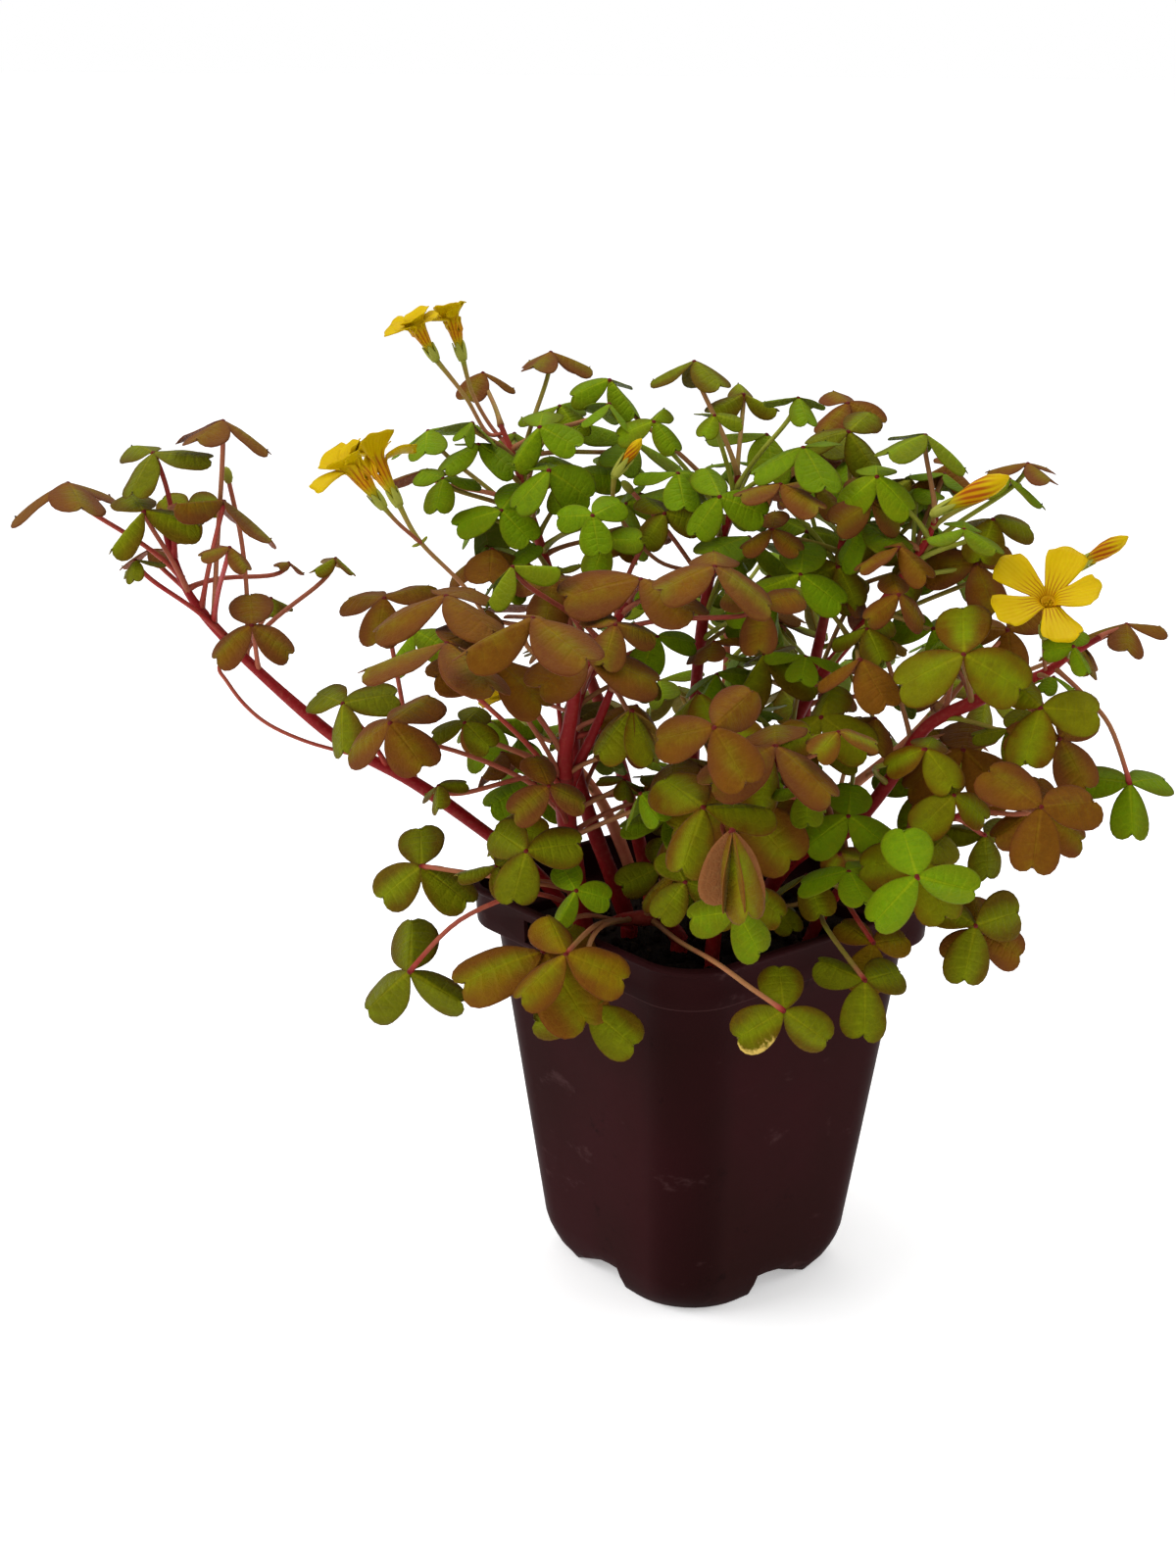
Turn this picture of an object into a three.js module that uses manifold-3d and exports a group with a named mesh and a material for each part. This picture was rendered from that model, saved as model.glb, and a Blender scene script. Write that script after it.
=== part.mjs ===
// Potted sunset velvet oxalis: a square nursery pot filled with soil, with leafy
// stems of three-part leaves on long stalks and small yellow five-petalled flowers.
// Millimetres, +Z up. The origin is the middle of the pot's underside, on the
// table. The viewer's side is -Y, and the pot stands with a corner to the viewer.
import * as THREE from 'three';
import Module from 'manifold-3d';

const wasm = await Module();
wasm.setup();
const { Manifold, Mesh } = wasm;

// driving sizes of the pot
const POT_HEIGHT = 120;
const POT_TURN = 42.4;
const LIP_HALF = 53.5;
const RIM_HEIGHT = 13;
const BODY_HALF = 47.5;
const FOOT_HALF = 31;
const CORNER = 16;
const WALL = 1.5;
const NOTCH_HEIGHT = 5.6;
const NOTCH_WIDTH = 24;
const NOTCH_ASIDE = 5; // the feet at the front and back corners are the wider ones
const SLOT_WIDTH = 6;
const SLOT_HEIGHT = 7;
const SLOT_ASIDE = -15.2;

// driving sizes of the soil and the plant
const SOIL_TOP = 105;
const STEM_DEPTH = 11;
const GAP = 0.35;
const BLADE = 0.7;
const STALK_ROOT = 0.78;
const STALK_TOP = 0.75;
const HUB = 1.25;
const RIB = 0.88;
const MIDDLE = 13.7;
const STEEP = 50; // a leaf whose leaflets hang by more degrees than this is built apart
const DROOP = 14;
const FOLD = 15;

// The plant was measured from a standpoint in front of it: each point is given as
// its reading across and up on the upright plane through the pot's middle, and as
// how near to the viewer it lies.
const EYE_BACK = 658.2;
const EYE_UP = 358.3;

function seen(across, up, near) {
  const t = (EYE_BACK - near) / EYE_BACK;
  return [across * t, -near, EYE_UP + (up - EYE_UP) * t];
}

// Stems: each limb is a row of [across, up, near, radius], from the soil up.
// Leaves: [limb, place along it, across, up, near, reach of a leaflet, lean,
// heading, spin, shade, droop, points its stalk passes].
// TABLE START
const STEMS = [
  {
    "name": "stem_left_long", "shade": 0,
    "limbs": [
      [[-37, 108, 0, 2.0], [-50, 123.5, 0, 2.0], [-68, 138, 2, 2.0], [-85, 150, 4, 1.9],
        [-105, 161, 6, 1.8], [-124, 177, 8, 1.7], [-140, 193, 10, 1.5], [-150, 206, 12, 1.3],
        [-155, 220, 12, 1.0], [-157, 230, 12, 0.8]],
    ],
    "leaves": [
      [0, 7.3, -181, 238, 14, 21, 8, 180, 180, 0, 8],
      [0, 7.75, -158.5, 247, 13, 17, 24, -10, 250, 3, 14],
      [0, 6.3, -138, 254, 6, 18, 2, 180, 5, 0, 12],
      [0, 6.65, -138.5, 231, 16, 19, 14, 80, -15, 0, 10],
      [0, 8.2, -149, 232, 2, 12, 40, 0, 30, 2, 14],
      [0, 7.0, -162, 230, 24, 17, 36, 0, 238, 3, 14],
      [0, 5.4, -132, 197, 20, 16, 42, 0, 345, 0, 14],
      [0, 3, -93, 206, 0, 17, 22, 0, 30, 0, 16],
      [0, 3.4, -106, 174, 20, 17, 42, -20, 22, 3, 14],
    ],
    "shoots": [
      [0, 5.6, [[-133, 205, 6], [-134, 222, 3], [-137, 239, 2]], 0.7, 1.7],
    ],
  },
  {
    "name": "stem_front", "shade": 1,
    "limbs": [
      [[-34.5, 104, 13, 3.2], [-37, 120, 15, 3.1], [-40, 140, 18, 2.9], [-40.5, 153, 20, 2.6]],
      [[-40, 147, 19, 2.4], [-40.5, 160, 22, 2.2], [-38.5, 173, 25, 2.0], [-37, 187, 28, 1.7]],
      [[-40, 148, 19, 1.9], [-36, 158, 19, 1.6], [-32, 167, 19, 1.4], [-27, 180, 19, 1.1]],
    ],
    "leaves": [
      [0, 2.5, -75, 195.5, 52, 25, 10, 0, 188, 0, 10],
      [1, 0.9, -75, 207, 42, 25, 6, 0, 196, 0, 10],
      [1, 2.5, -50, 201, 62, 25, 12, 10, 330, 0, 10],
      [0, 2.7, -60, 188, 38, 21, 14, 0, 200, 0, 12],
      [0, 2.3, -92, 168.5, 40, 20, 30, -10, 185, 0, 16],
      [0, 2.9, -70, 169, 32, 12, 30, 0, 190, 3, 14],
      [0, 1.9, -52, 151, 4, 17, 30, 0, 205, 5, 14],
      [0, 1.45, -52, 127, 40, 17, 54, 0, 260, 3, 14],
      [0, 0.7, -61, 124.5, 26, 13, 8, 0, 175, 3, 10],
      [0, 0.95, -83.5, 124, 32, 19, 48, 0, 214, 3, 14, [[-60, 121, 30]]],
      [0, 0.45, -87.5, 90, 36, 22, 50, 0, 212, 3, 14, [[-51, 116, 27], [-72, 107, 33]]],
      [0, 1.2, -37, 117.5, 46, 12, 44, 0, 240, 5, 14],
      [1, 3, -37, 190, 34, 22, 20, 30, 355, 0, 12],
      [2, 3, -21, 174, 44, 17, 8, 0, 330, 2, 48],
      [0, 1.7, 3, 144.5, 54, 21, 46, 0, 256, 2, 14, [[-22, 142, 34], [-9, 146, 45]]],
    ],
    "shoots": [],
  },
  {
    "name": "stem_second", "shade": 1,
    "limbs": [
      [[-21, 107, 4, 2.6], [-26, 121, 5, 2.5], [-33, 140, 5, 2.2], [-38, 160, 3, 2.0],
        [-37, 176, 4, 1.7], [-30, 193, 8, 1.4], [-22, 206, 12, 1.0]],
    ],
    "leaves": [
      [0, 6, -19, 213, 34, 24, 10, 0, 195, 0, 10],
      [0, 5.75, 2, 217, 36, 20, 22, 0, 335, 0, 12],
      [0, 5.25, 15, 206, 30, 14, 36, 0, 270, 0, 14],
      [0, 4.4, -14, 196, 2, 14, 40, 0, 250, 4, 14],
      [0, 5.5, -10, 232, 0, 13, 40, 0, 230, 3, 14],
      [0, 4.75, -44, 212, 16, 16, 25, 0, 150, 0, 14],
    ],
    "shoots": [],
  },
  {
    "name": "stem_crown", "shade": 3,
    "limbs": [
      [[-6, 103, 15, 2.5], [-11, 108.5, 15.5, 2.4], [-19, 109, 18, 2.2], [-25, 108, 22, 1.7]],
    ],
    "leaves": [
      [0, 1.4, 26, 80.5, 72, 17, 54, 0, 92, 3, 14, [[-6, 102, 42], [5, 95.6, 70], [16, 87.5, 75]]],
      [0, 2.3, -33, 82, 60, 18, 54, 0, 200, 3, 14, [[-30, 105.5, 50], [-34, 95, 58]]],
      [0, 3, -44.5, 97.5, 63, 26, 26, 0, 187, 1, 12, [[-36.5, 109, 45]]],
      [0, 2.7, -40, 97, 70, 19, 34, 0, 345, 1, 12, [[-31, 106.5, 50]]],
      [0, 1.0, -2, 121, 46, 13, 48, 0, 235, 3, 14],
      [0, 0.6, -12, 123, 30, 15, 50, 0, 205, 3, 14],
    ],
    "shoots": [],
  },
  {
    "name": "stem_right_long", "shade": 2,
    "limbs": [
      [[15, 107, 4, 2.4], [22, 122, 6, 2.4], [31, 132, 8, 2.2], [43, 138, 10, 2.0],
        [54, 153, 10, 2.0], [64, 170, 11, 1.9], [77, 178, 12, 1.9], [90, 184, 13, 1.7],
        [97, 187, 14, 1.5], [104, 192.5, 15, 1.0], [112, 198, 16, 0.8]],
    ],
    "leaves": [
      [0, 10, 119.5, 202.5, 18, 15, 8, 0, 155, 0, 16],
      [0, 9, 105, 198, 22, 9, 50, 0, 60, 4, 14],
      [0, 6, 74, 192.5, 46, 20, 50, 0, 206, 2, 14],
      [0, 7, 97, 177, 34, 18, 46, 0, 245, 2, 14],
      [0, 7.4, 103, 168, 24, 17, 40, 10, 292, 0, 14],
      [0, 8.4, 124, 155, 28, 16, 36, 0, 270, 4, 14, [[108, 182, 20], [117, 172, 24]]],
      [0, 7.8, 100, 186.5, 24, 8, 10, 0, 0, 4, 14],
      [0, 4, 64.5, 164, 36, 14, 30, 0, 190, 2, 14],
      [0, 4.5, 73, 164, 30, 21, 36, 0, 318, 0, 14],
      [0, 5.4, 88, 170.5, 22, 12, 40, 0, 180, 3, 14],
      [0, 5.2, 86, 200, 2, 16, 50, 0, 280, 0, 14],
      [0, 3, 43, 143, 36, 16, 32, 0, 205, 5, 14],
      [0, 2.6, 41, 131, 28, 9, 60, 0, 240, 1, 30],
    ],
    "shoots": [],
  },
  {
    "name": "stem_right_mid", "shade": 4,
    "limbs": [
      [[6, 111, -8, 2.2], [14, 140, -6, 2.0], [22, 160, -4, 1.9], [32, 183, -2, 1.8],
        [48, 204, 0, 1.5], [57, 217, 2, 1.2], [62, 226, 3, 1.0], [64, 232, 4, 0.8]],
    ],
    "leaves": [
      [0, 7, 60, 253, 0, 17, 12, 60, 340, 4, 14],
      [0, 6.1, 47, 246, -6, 15, 40, 0, 325, 5, 14],
      [0, 5.8, 66, 247, -12, 12, 30, 0, 320, 0, 14],
      [0, 6.5, 84, 243.5, -8, 13, 6, 60, 335, 4, 12],
      [0, 5.5, 80, 232, -2, 15, 25, 0, 250, 3, 14],
      [0, 5.2, 72, 229, 8, 14, 10, 0, 200, 4, 12],
      [0, 4.9, 54, 226, 12, 14, 12, 0, 185, 0, 12],
      [0, 3.6, 24, 215, 18, 17, 48, 0, 320, 5, 14],
      [0, 2.3, 34, 173, 34, 18, 34, 0, 326, 2, 14],
      [0, 4.65, 76, 219, 4, 17, 50, 0, 290, 0, 14],
      [0, 4.0, 65, 200, -4, 15, 45, 0, 45, 5, 14],
      [0, 4.35, 58, 221, -8, 15, 50, 0, 270, 3, 14],
    ],
    "shoots": [],
  },
  {
    "name": "stem_back_centre", "shade": 4,
    "limbs": [
      [[-3, 116, -20, 2.2], [-3, 160, -20, 2.0], [-2, 190, -20, 1.8], [1, 215, -20, 1.5],
        [6, 232, -20, 1.2], [8, 243, -20, 0.9]],
    ],
    "leaves": [
      [0, 5, -5, 275, -30, 16, 8, 0, 190, 3, 12],
      [0, 4.75, 9, 266, -38, 13, 20, 0, 340, 3, 14],
      [0, 4.1, -26, 269.5, -26, 14, 24, 0, 320, 4, 14],
      [0, 3.8, -16, 258, -8, 12, 30, 0, 195, 4, 14],
      [0, 4.5, 1, 260, -18, 9, 24, 0, 240, 4, 14],
      [0, 3.6, -9, 246, -2, 15, 36, 0, 280, 5, 14],
      [0, 3.4, 3, 237, 6, 15, 48, 0, 225, 4, 14],
      [0, 4.3, 26, 249, -8, 17, 14, 0, 185, 4, 12],
    ],
    "shoots": [
      [0, 2.8, [[-11, 226, -16], [-22, 238, -18]], 0.7, 1.6],
    ],
  },
  {
    "name": "stem_back_right", "shade": 4,
    "limbs": [
      [[21, 117, -22, 2.1], [27, 160, -22, 1.9], [33, 198, -22, 1.6], [38, 224, -22, 1.2],
        [41, 238, -22, 0.9]],
    ],
    "leaves": [
      [0, 4, 38, 264, -36, 14, 20, 0, 345, 0, 14],
      [0, 3.7, 36, 256, -16, 15, 40, 0, 300, 3, 14],
      [0, 3.1, 20, 241, 14, 15, 8, 0, 200, 0, 12],
      [0, 3.4, 30, 241, -6, 13, 34, 0, 300, 0, 14],
      [0, 3.55, 36, 241, -14, 15, 44, 0, 318, 5, 14],
      [0, 2.9, 18, 228, 6, 12, 30, 0, 205, 0, 14],
      [0, 2.75, 28, 230, -10, 15, 45, 0, 250, 4, 14],
      [0, 2.6, 37, 220, -6, 14, 45, 0, 300, 3, 14],
    ],
    "shoots": [],
  },
  {
    "name": "stem_back_left", "shade": 4,
    "limbs": [
      [[-15, 118, -26, 2.2], [-26, 163, -26, 2.0], [-40, 199, -26, 1.7], [-50, 229, -26, 1.3],
        [-55, 246, -26, 1.0], [-59, 256, -28, 0.8]],
    ],
    "leaves": [
      [0, 5, -64, 271, -36, 13, 5, 0, 250, 0, 14],
      [0, 3.8, -45, 277, -42, 14, 6, 200, 15, 0, 14],
      [0, 4.1, -67, 257, -20, 12, 14, 90, 150, 4, 12],
      [0, 3.6, -45, 262, -30, 14, 28, 0, 310, 4, 14],
      [0, 3.4, -48, 256, -8, 15, 40, 0, 218, 4, 14],
      [0, 3.2, -80, 243.5, -32, 13, 14, 180, 175, 0, 12],
      [0, 3.0, -75.5, 241, -14, 12, 26, 0, 260, 4, 14],
      [0, 2.5, -59, 232, -6, 15, 45, 0, 312, 5, 14],
      [0, 2.85, -38, 243, -14, 14, 42, 0, 250, 4, 14],
      [0, 2.7, -33, 231, -4, 13, 44, 0, 285, 5, 14],
    ],
    "shoots": [],
  },
  {
    "name": "stem_low_right", "shade": 2,
    "limbs": [
      [[32, 101, 20, 2.0], [38, 115, 21, 1.8], [48, 125, 24, 1.5], [57, 128, 27, 1.2], [63, 129.5, 30, 1.0]],
      [[46, 123, 23, 1.3], [60, 134, 22, 1.1], [72, 142, 24, 0.9], [80, 146, 26, 0.8]],
    ],
    "leaves": [
      [0, 4, 65, 127, 46, 19, 40, 0, 297, 2, 14],
      [0, 3.7, 66, 129, 34, 14, 8, 0, 338, 5, 14],
      [0, 2.4, 61, 133, 32, 14, 6, 0, 20, 5, 14],
      [0, 3.05, 64, 122, 64, 18, 56, 0, 224, 5, 14],
      [0, 3.4, 84, 107.5, 44, 16, 50, 0, 335, 0, 14],
      [0, 2.75, 82, 107, 36, 18, 50, 0, 262, 3, 14],
      [0, 1.0, 50, 91, 50, 17, 46, 0, 150, 3, 14, [[37, 109, 42]]],
      [0, 1.4, 52, 103, 48, 14, 50, 0, 262, 1, 14, [[45, 113.5, 38]]],
      [1, 1.9, 76, 150, 40, 14, 50, 0, 220, 2, 14],
      [1, 1.0, 63, 151, 20, 15, 54, 0, 265, 4, 14],
      [1, 3, 96.5, 147, 50, 19, 50, 0, 257, 0, 14],
      [1, 2.75, 98, 149, 36, 16, 40, 0, 324, 0, 14],
      [1, 2.25, 83, 138, 26, 14, 54, 0, 275, 3, 14],
    ],
    "shoots": [],
  },
  {
    "name": "stem_front_centre", "shade": 1,
    "limbs": [
      [[4, 98.5, 27, 2.2], [6, 120, 29, 2.0], [8, 140, 31, 1.7], [10, 153, 32, 1.3]],
    ],
    "leaves": [
      [0, 1.9, -4, 143, 42, 21, 50, 0, 242, 1, 14],
      [0, 2.1, 9, 146, 46, 24, 45, 0, 315, 1, 14],
      [0, 3, 5.5, 169, 58, 19, 54, 0, 297, 0, 14],
      [0, 2.75, 21, 164, 60, 23, 28, 0, 328, 0, 12],
      [0, 2.5, 19, 162, 46, 18, 55, 0, 268, 2, 14],
      [0, 0.9, 11, 112, 60, 15, 54, 0, 306, 4, 14],
      [0, 1.2, 13, 119, 48, 15, 40, 0, 335, 2, 14],
      [0, 1.6, -13, 141, 34, 14, 10, 0, 186, 5, 12],
      [0, 2, 9, 138, 76, 25, 0, 0, 278, 1, 72, [[7, 140.5, 42], [6.2, 138.5, 53], [8, 134, 70]]],
    ],
    "shoots": [],
  },
  {
    "name": "stem_back_low_left", "shade": 4,
    "limbs": [
      [[-20, 122, -35, 2.0], [-30, 146, -44, 1.8], [-46, 167, -56, 1.4], [-56, 184, -64, 1.0]],
    ],
    "leaves": [], "fill": [7, 150, 26], "shoots": [],
  },
  {
    "name": "stem_back_low_centre", "shade": 4,
    "limbs": [
      [[2, 126, -46, 2.0], [4, 154, -58, 1.8], [6, 180, -70, 1.4], [6, 202, -76, 1.0]],
    ],
    "leaves": [], "fill": [8, 90, 25], "shoots": [],
  },
  {
    "name": "stem_back_low_right", "shade": 4,
    "limbs": [
      [[22, 122, -32, 2.0], [38, 146, -44, 1.8], [57, 164, -56, 1.4], [70, 180, -64, 1.0]],
    ],
    "leaves": [], "fill": [7, 40, 26], "shoots": [],
  },
];

const BLOOMS = [
  {"name": "bloom_top_outer", "stem": 8, "limb": 0, "at": 4.8, "stalk": [[-63, 254, -28], [-69, 264, -28]],
    "base": [-77, 274, -27], "mouth": [-84, 286, -22], "kind": "trumpet", "size": 17},
  {"name": "bloom_top_inner", "stem": 8, "limb": 0, "at": 4.4, "stalk": [[-62, 256, -30], [-67, 265, -31]],
    "base": [-69.5, 274, -32], "mouth": [-73.5, 289, -32], "kind": "trumpet", "size": 16},
  {"name": "bloom_left_outer", "stem": 1, "limb": 1, "at": 1.6, "stalk": [[-52, 178, 14], [-66, 203, 18], [-83, 220, 24]],
    "base": [-92.5, 232, 26], "mouth": [-103, 246, 30], "kind": "trumpet", "size": 20},
  {"name": "bloom_left_inner", "stem": 1, "limb": 1, "at": 1.95, "stalk": [[-52, 180, 8], [-67, 206, 10], [-82, 222, 11]],
    "base": [-88, 232.5, 9], "mouth": [-96, 248, 5], "kind": "trumpet", "size": 20},
  {"name": "bloom_centre_bud", "stem": 6, "limb": 0, "at": 3.0, "stalk": [[-14, 218, -14], [-26, 232, -8]],
    "base": [-27, 242, -4], "mouth": [-20, 252, -2], "kind": "bud", "size": 12},
  {"name": "bloom_right_bud", "stem": 5, "limb": 0, "at": 6.8, "stalk": [[63.5, 231, 9]],
    "base": [63, 233, 14], "mouth": [80, 242, 20], "kind": "bud", "size": 22},
  {"name": "bloom_right_open", "stem": 4, "limb": 0, "at": 8.1, "stalk": [[97, 191, 17]],
    "base": [96.5, 198, 21], "mouth": [97, 210, 32], "kind": "open", "size": 17},
  {"name": "bloom_outer_bud", "stem": 4, "limb": 0, "at": 8.8, "stalk": [[101, 200, 8], [100, 210, 8]],
    "base": [102, 217, 10], "mouth": [115, 225.5, 12], "kind": "bud", "size": 17},
  {"name": "bloom_inner_left", "stem": 2, "limb": 0, "at": 3.2, "stalk": [[-46, 164, -4]],
    "base": [-51, 169, -6], "mouth": [-58, 178, -4], "kind": "trumpet", "size": 14},
];
// TABLE END

// The leaves crowd together, so each one is bent nearer or farther by the step, and
// its stalk bowed to the side by the share of its length, that keep it clearest of
// its neighbours, in the order of the table.
const STEPS = [0, 3, -3, 6, -6, 9, -9, 12, -12, 15, -15];
const BOWS = [0, 0.16, -0.16, 0.32, -0.32];
const SHIFTS = [[0, 0], [2.5, 0], [-2.5, 0], [0, 2.5], [0, -2.5]];
const ROUNDS = 3;
const REACH = 2.6;

const rad = (deg) => (deg * Math.PI) / 180;
const add = (a, b) => [a[0] + b[0], a[1] + b[1], a[2] + b[2]];
const sub = (a, b) => [a[0] - b[0], a[1] - b[1], a[2] - b[2]];
const mul = (a, k) => [a[0] * k, a[1] * k, a[2] * k];
const dot = (a, b) => a[0] * b[0] + a[1] * b[1] + a[2] * b[2];
const cross = (a, b) => [
  a[1] * b[2] - a[2] * b[1], a[2] * b[0] - a[0] * b[2], a[0] * b[1] - a[1] * b[0],
];
const len = (a) => Math.sqrt(dot(a, a));
const unit = (a) => mul(a, 1 / len(a));
const mix = (a, b, t) => add(mul(a, 1 - t), mul(b, t));

// a plain repeatable draw between 0 and 1
function draws(seed) {
  let s = seed;
  return () => {
    s = (s * 1664525 + 1013904223) % 4294967296;
    return s / 4294967296;
  };
}

// limbs as rows of { p, r }, the first with its foot down in the soil
function limbPoints(rows, foot) {
  const out = rows.map((row) => ({ p: seen(row[0], row[1], row[2]), r: row[3] }));
  if (foot) {
    const top = out[0];
    out.unshift(
      { p: [top.p[0], top.p[1], SOIL_TOP - STEM_DEPTH], r: top.r },
      { p: [top.p[0], top.p[1], SOIL_TOP + 2], r: top.r },
    );
  }
  return out;
}

function along(limb, place) {
  const shift = limb.length - limb.rows;
  const k = Math.min(Math.floor(place), limb.rows - 1);
  const a = limb[k + shift];
  const b = limb[Math.min(k + 1, limb.rows - 1) + shift];
  return mix(a.p, b.p, place - k);
}

// the leaf's own directions: n up out of its face, e1 and e2 across it
function leafFrame(lean, heading) {
  const l = rad(lean);
  const h = rad(heading);
  const n = [Math.sin(l) * Math.sin(h), -Math.sin(l) * Math.cos(h), Math.cos(l)];
  const e1 = unit(sub([1, 0, 0], mul(n, n[0])));
  return { n, e1, e2: cross(n, e1) };
}

function leafletFrames(leaf) {
  const { n, e1, e2 } = leafFrame(leaf.lean, leaf.heading);
  return [0, 120, 240].map((turn) => {
    const a = rad(leaf.spin + turn);
    const d = add(mul(e1, Math.cos(a)), mul(e2, Math.sin(a)));
    const c = Math.cos(rad(leaf.droop));
    const s = Math.sin(rad(leaf.droop));
    const out = sub(mul(d, c), mul(n, s));
    const up = add(mul(n, c), mul(d, s));
    return { out, up, side: cross(up, out) };
  });
}

// stalk from the limb to the leaf's hub, as a row of points
function stalkPoints(leaf, hub) {
  const { n } = leafFrame(leaf.lean, leaf.heading);
  const root = leaf.root;
  const span = len(sub(hub, root));
  if (!leaf.via.length) {
    const aside = unit(cross(sub(hub, root), [0, 0.001, 1]));
    const b = add(add(mix(root, hub, 0.4), [0, 0, 0.1 * span]), mul(aside, leaf.bow * span));
    const c = add(sub(hub, mul(n, 0.22 * span)), mul(aside, leaf.bow * span * 0.6));
    const count = span < 50 ? 2 : 3;
    const points = [];
    for (let i = 0; i <= count; i += 1) {
      const t = i / count;
      const u = 1 - t;
      points.push(add(
        add(mul(root, u * u * u), mul(b, 3 * u * u * t)),
        add(mul(c, 3 * u * t * t), mul(hub, t * t * t)),
      ));
    }
    return points;
  }
  const way = [root, ...leaf.via, hub];
  return smooth(way, 2);
}

// a smooth way through the points, each stretch in the given number of steps
function smooth(way, steps) {
  const points = [way[0]];
  for (let i = 0; i + 1 < way.length; i += 1) {
    const a = way[i];
    const b = way[i + 1];
    const before = i ? way[i - 1] : a;
    const after = i + 2 < way.length ? way[i + 2] : b;
    for (let k = 1; k <= steps; k += 1) {
      const t = k / steps;
      const ma = mul(sub(b, before), 0.5);
      const mb = mul(sub(after, a), 0.5);
      const t2 = t * t;
      const t3 = t2 * t;
      points.push(add(
        add(mul(a, 2 * t3 - 3 * t2 + 1), mul(ma, t3 - 2 * t2 + t)),
        add(mul(b, 3 * t2 - 2 * t3), mul(mb, t3 - t2)),
      ));
    }
  }
  return points;
}

// check points over a leaf: rows of [x, y, z, radius]
const BLADE_POINTS = [
  [0.25, 0], [0.5, 0], [0.75, 0], [0.98, 0],
  [0.45, 0.28], [0.45, -0.28], [0.62, 0.14], [0.62, -0.14], [0.72, 0.4], [0.72, -0.4],
  [0.86, 0.2], [0.86, -0.2], [0.98, 0.42], [0.98, -0.42], [1.08, 0.24], [1.08, -0.24],
];

// a set of check points with a ball round them, so that far sets are passed over
function setOf(points, thing) {
  let c = [0, 0, 0];
  for (const p of points) c = add(c, [p[0], p[1], p[2]]);
  c = mul(c, 1 / Math.max(1, points.length));
  let r = 0;
  for (const p of points) r = Math.max(r, len(sub([p[0], p[1], p[2]], c)) + p[3]);
  return { points, c, r, ...thing };
}

function samples(leaf, hub) {
  const blade = [];
  for (const f of leafletFrames(leaf)) {
    for (const [u, v] of BLADE_POINTS) {
      const w = -Math.tan(rad(FOLD)) * Math.abs(v) - 0.08 * u * u;
      const p = add(add(add(hub, mul(f.out, u * leaf.size)), mul(f.side, v * leaf.size)),
        mul(f.up, w * leaf.size));
      blade.push([p[0], p[1], p[2], 0.35]);
    }
  }
  const way = stalkPoints(leaf, hub);
  const stalk = [];
  for (let i = 0; i + 1 < way.length; i += 1) {
    const count = Math.max(1, Math.ceil(len(sub(way[i + 1], way[i])) / 3));
    for (let k = 1; k <= count; k += 1) {
      const p = mix(way[i], way[i + 1], k / count);
      if (len(sub(p, leaf.root)) > 4 && len(sub(p, hub)) > 2) stalk.push([p[0], p[1], p[2], 0.7]);
    }
  }
  return [setOf(blade, { blade: true }), setOf(stalk, { blade: false })];
}

// how far a point is into the space of the pot and its soil: 0 when clear
function inPot(p) {
  const t = rad(POT_TURN);
  const a = Math.abs(p[0] * Math.cos(t) + p[1] * Math.sin(t));
  const b = Math.abs(p[1] * Math.cos(t) - p[0] * Math.sin(t));
  const m = Math.max(a, b);
  if (p[2] > POT_HEIGHT + 1.6 || m > LIP_HALF + 1.6) return 0;
  return m < LIP_HALF - 4.5 && p[2] > SOIL_TOP + 3 ? 0 : 1;
}

function pairs(mine, others) {
  if (len(sub(mine.c, others.c)) > mine.r + others.r + REACH) return 0;
  let sum = 0;
  for (const a of mine.points) {
    for (const b of others.points) {
      const r = REACH + a[3] + b[3];
      const x = a[0] - b[0];
      const y = a[1] - b[1];
      const z = a[2] - b[2];
      if (x * x + y * y + z * z < r * r) sum += 1;
    }
  }
  return sum;
}

// crossings of a leaf so placed with all the other leaves, stems and blooms
function cost(leaf, hub, all, fixed) {
  const mine = samples(leaf, hub);
  let sum = 0;
  for (const set of mine) for (const p of set.points) sum += 3 * inPot(p);
  for (const other of all) {
    if (other === leaf) continue;
    for (const a of mine) {
      for (const b of other.samples) {
        if (other.stem !== leaf.stem || a.blade || b.blade) sum += pairs(a, b);
      }
    }
  }
  for (const b of fixed) {
    for (const a of mine) if (b.stem !== leaf.stem || a.blade) sum += pairs(a, b);
  }
  return sum;
}

// leaves of the stems at the back, by turns round the stem
function fillRows(stem, limb, index) {
  const [count, heading, reach] = stem.fill;
  const draw = draws(4100 + index);
  const leaves = [];
  for (let i = 0; i < count; i += 1) {
    const place = 0.7 + (2.3 * i) / (count - 1);
    const root = along(limb, place);
    const way = rad(heading + ((i * 137.5) % 220) - 110);
    const out = reach * (0.75 + 0.5 * draw());
    const rise = 10 + 16 * draw() - (i < 3 ? 5 : 0);
    const hub = add(root, [Math.cos(way) * out, Math.sin(way) * out, rise]);
    const size = RIB * (14 + 6 * draw());
    const lean = 8 + 34 * draw();
    const spin = 360 * draw();
    leaves.push({
      root, hub, size, lean, heading: 90 + heading + ((i * 137.5) % 220) - 110, spin,
      shade: draw() < 0.6 ? 4 : 3, droop: DROOP, via: [], base: null,
    });
  }
  return leaves;
}

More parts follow.
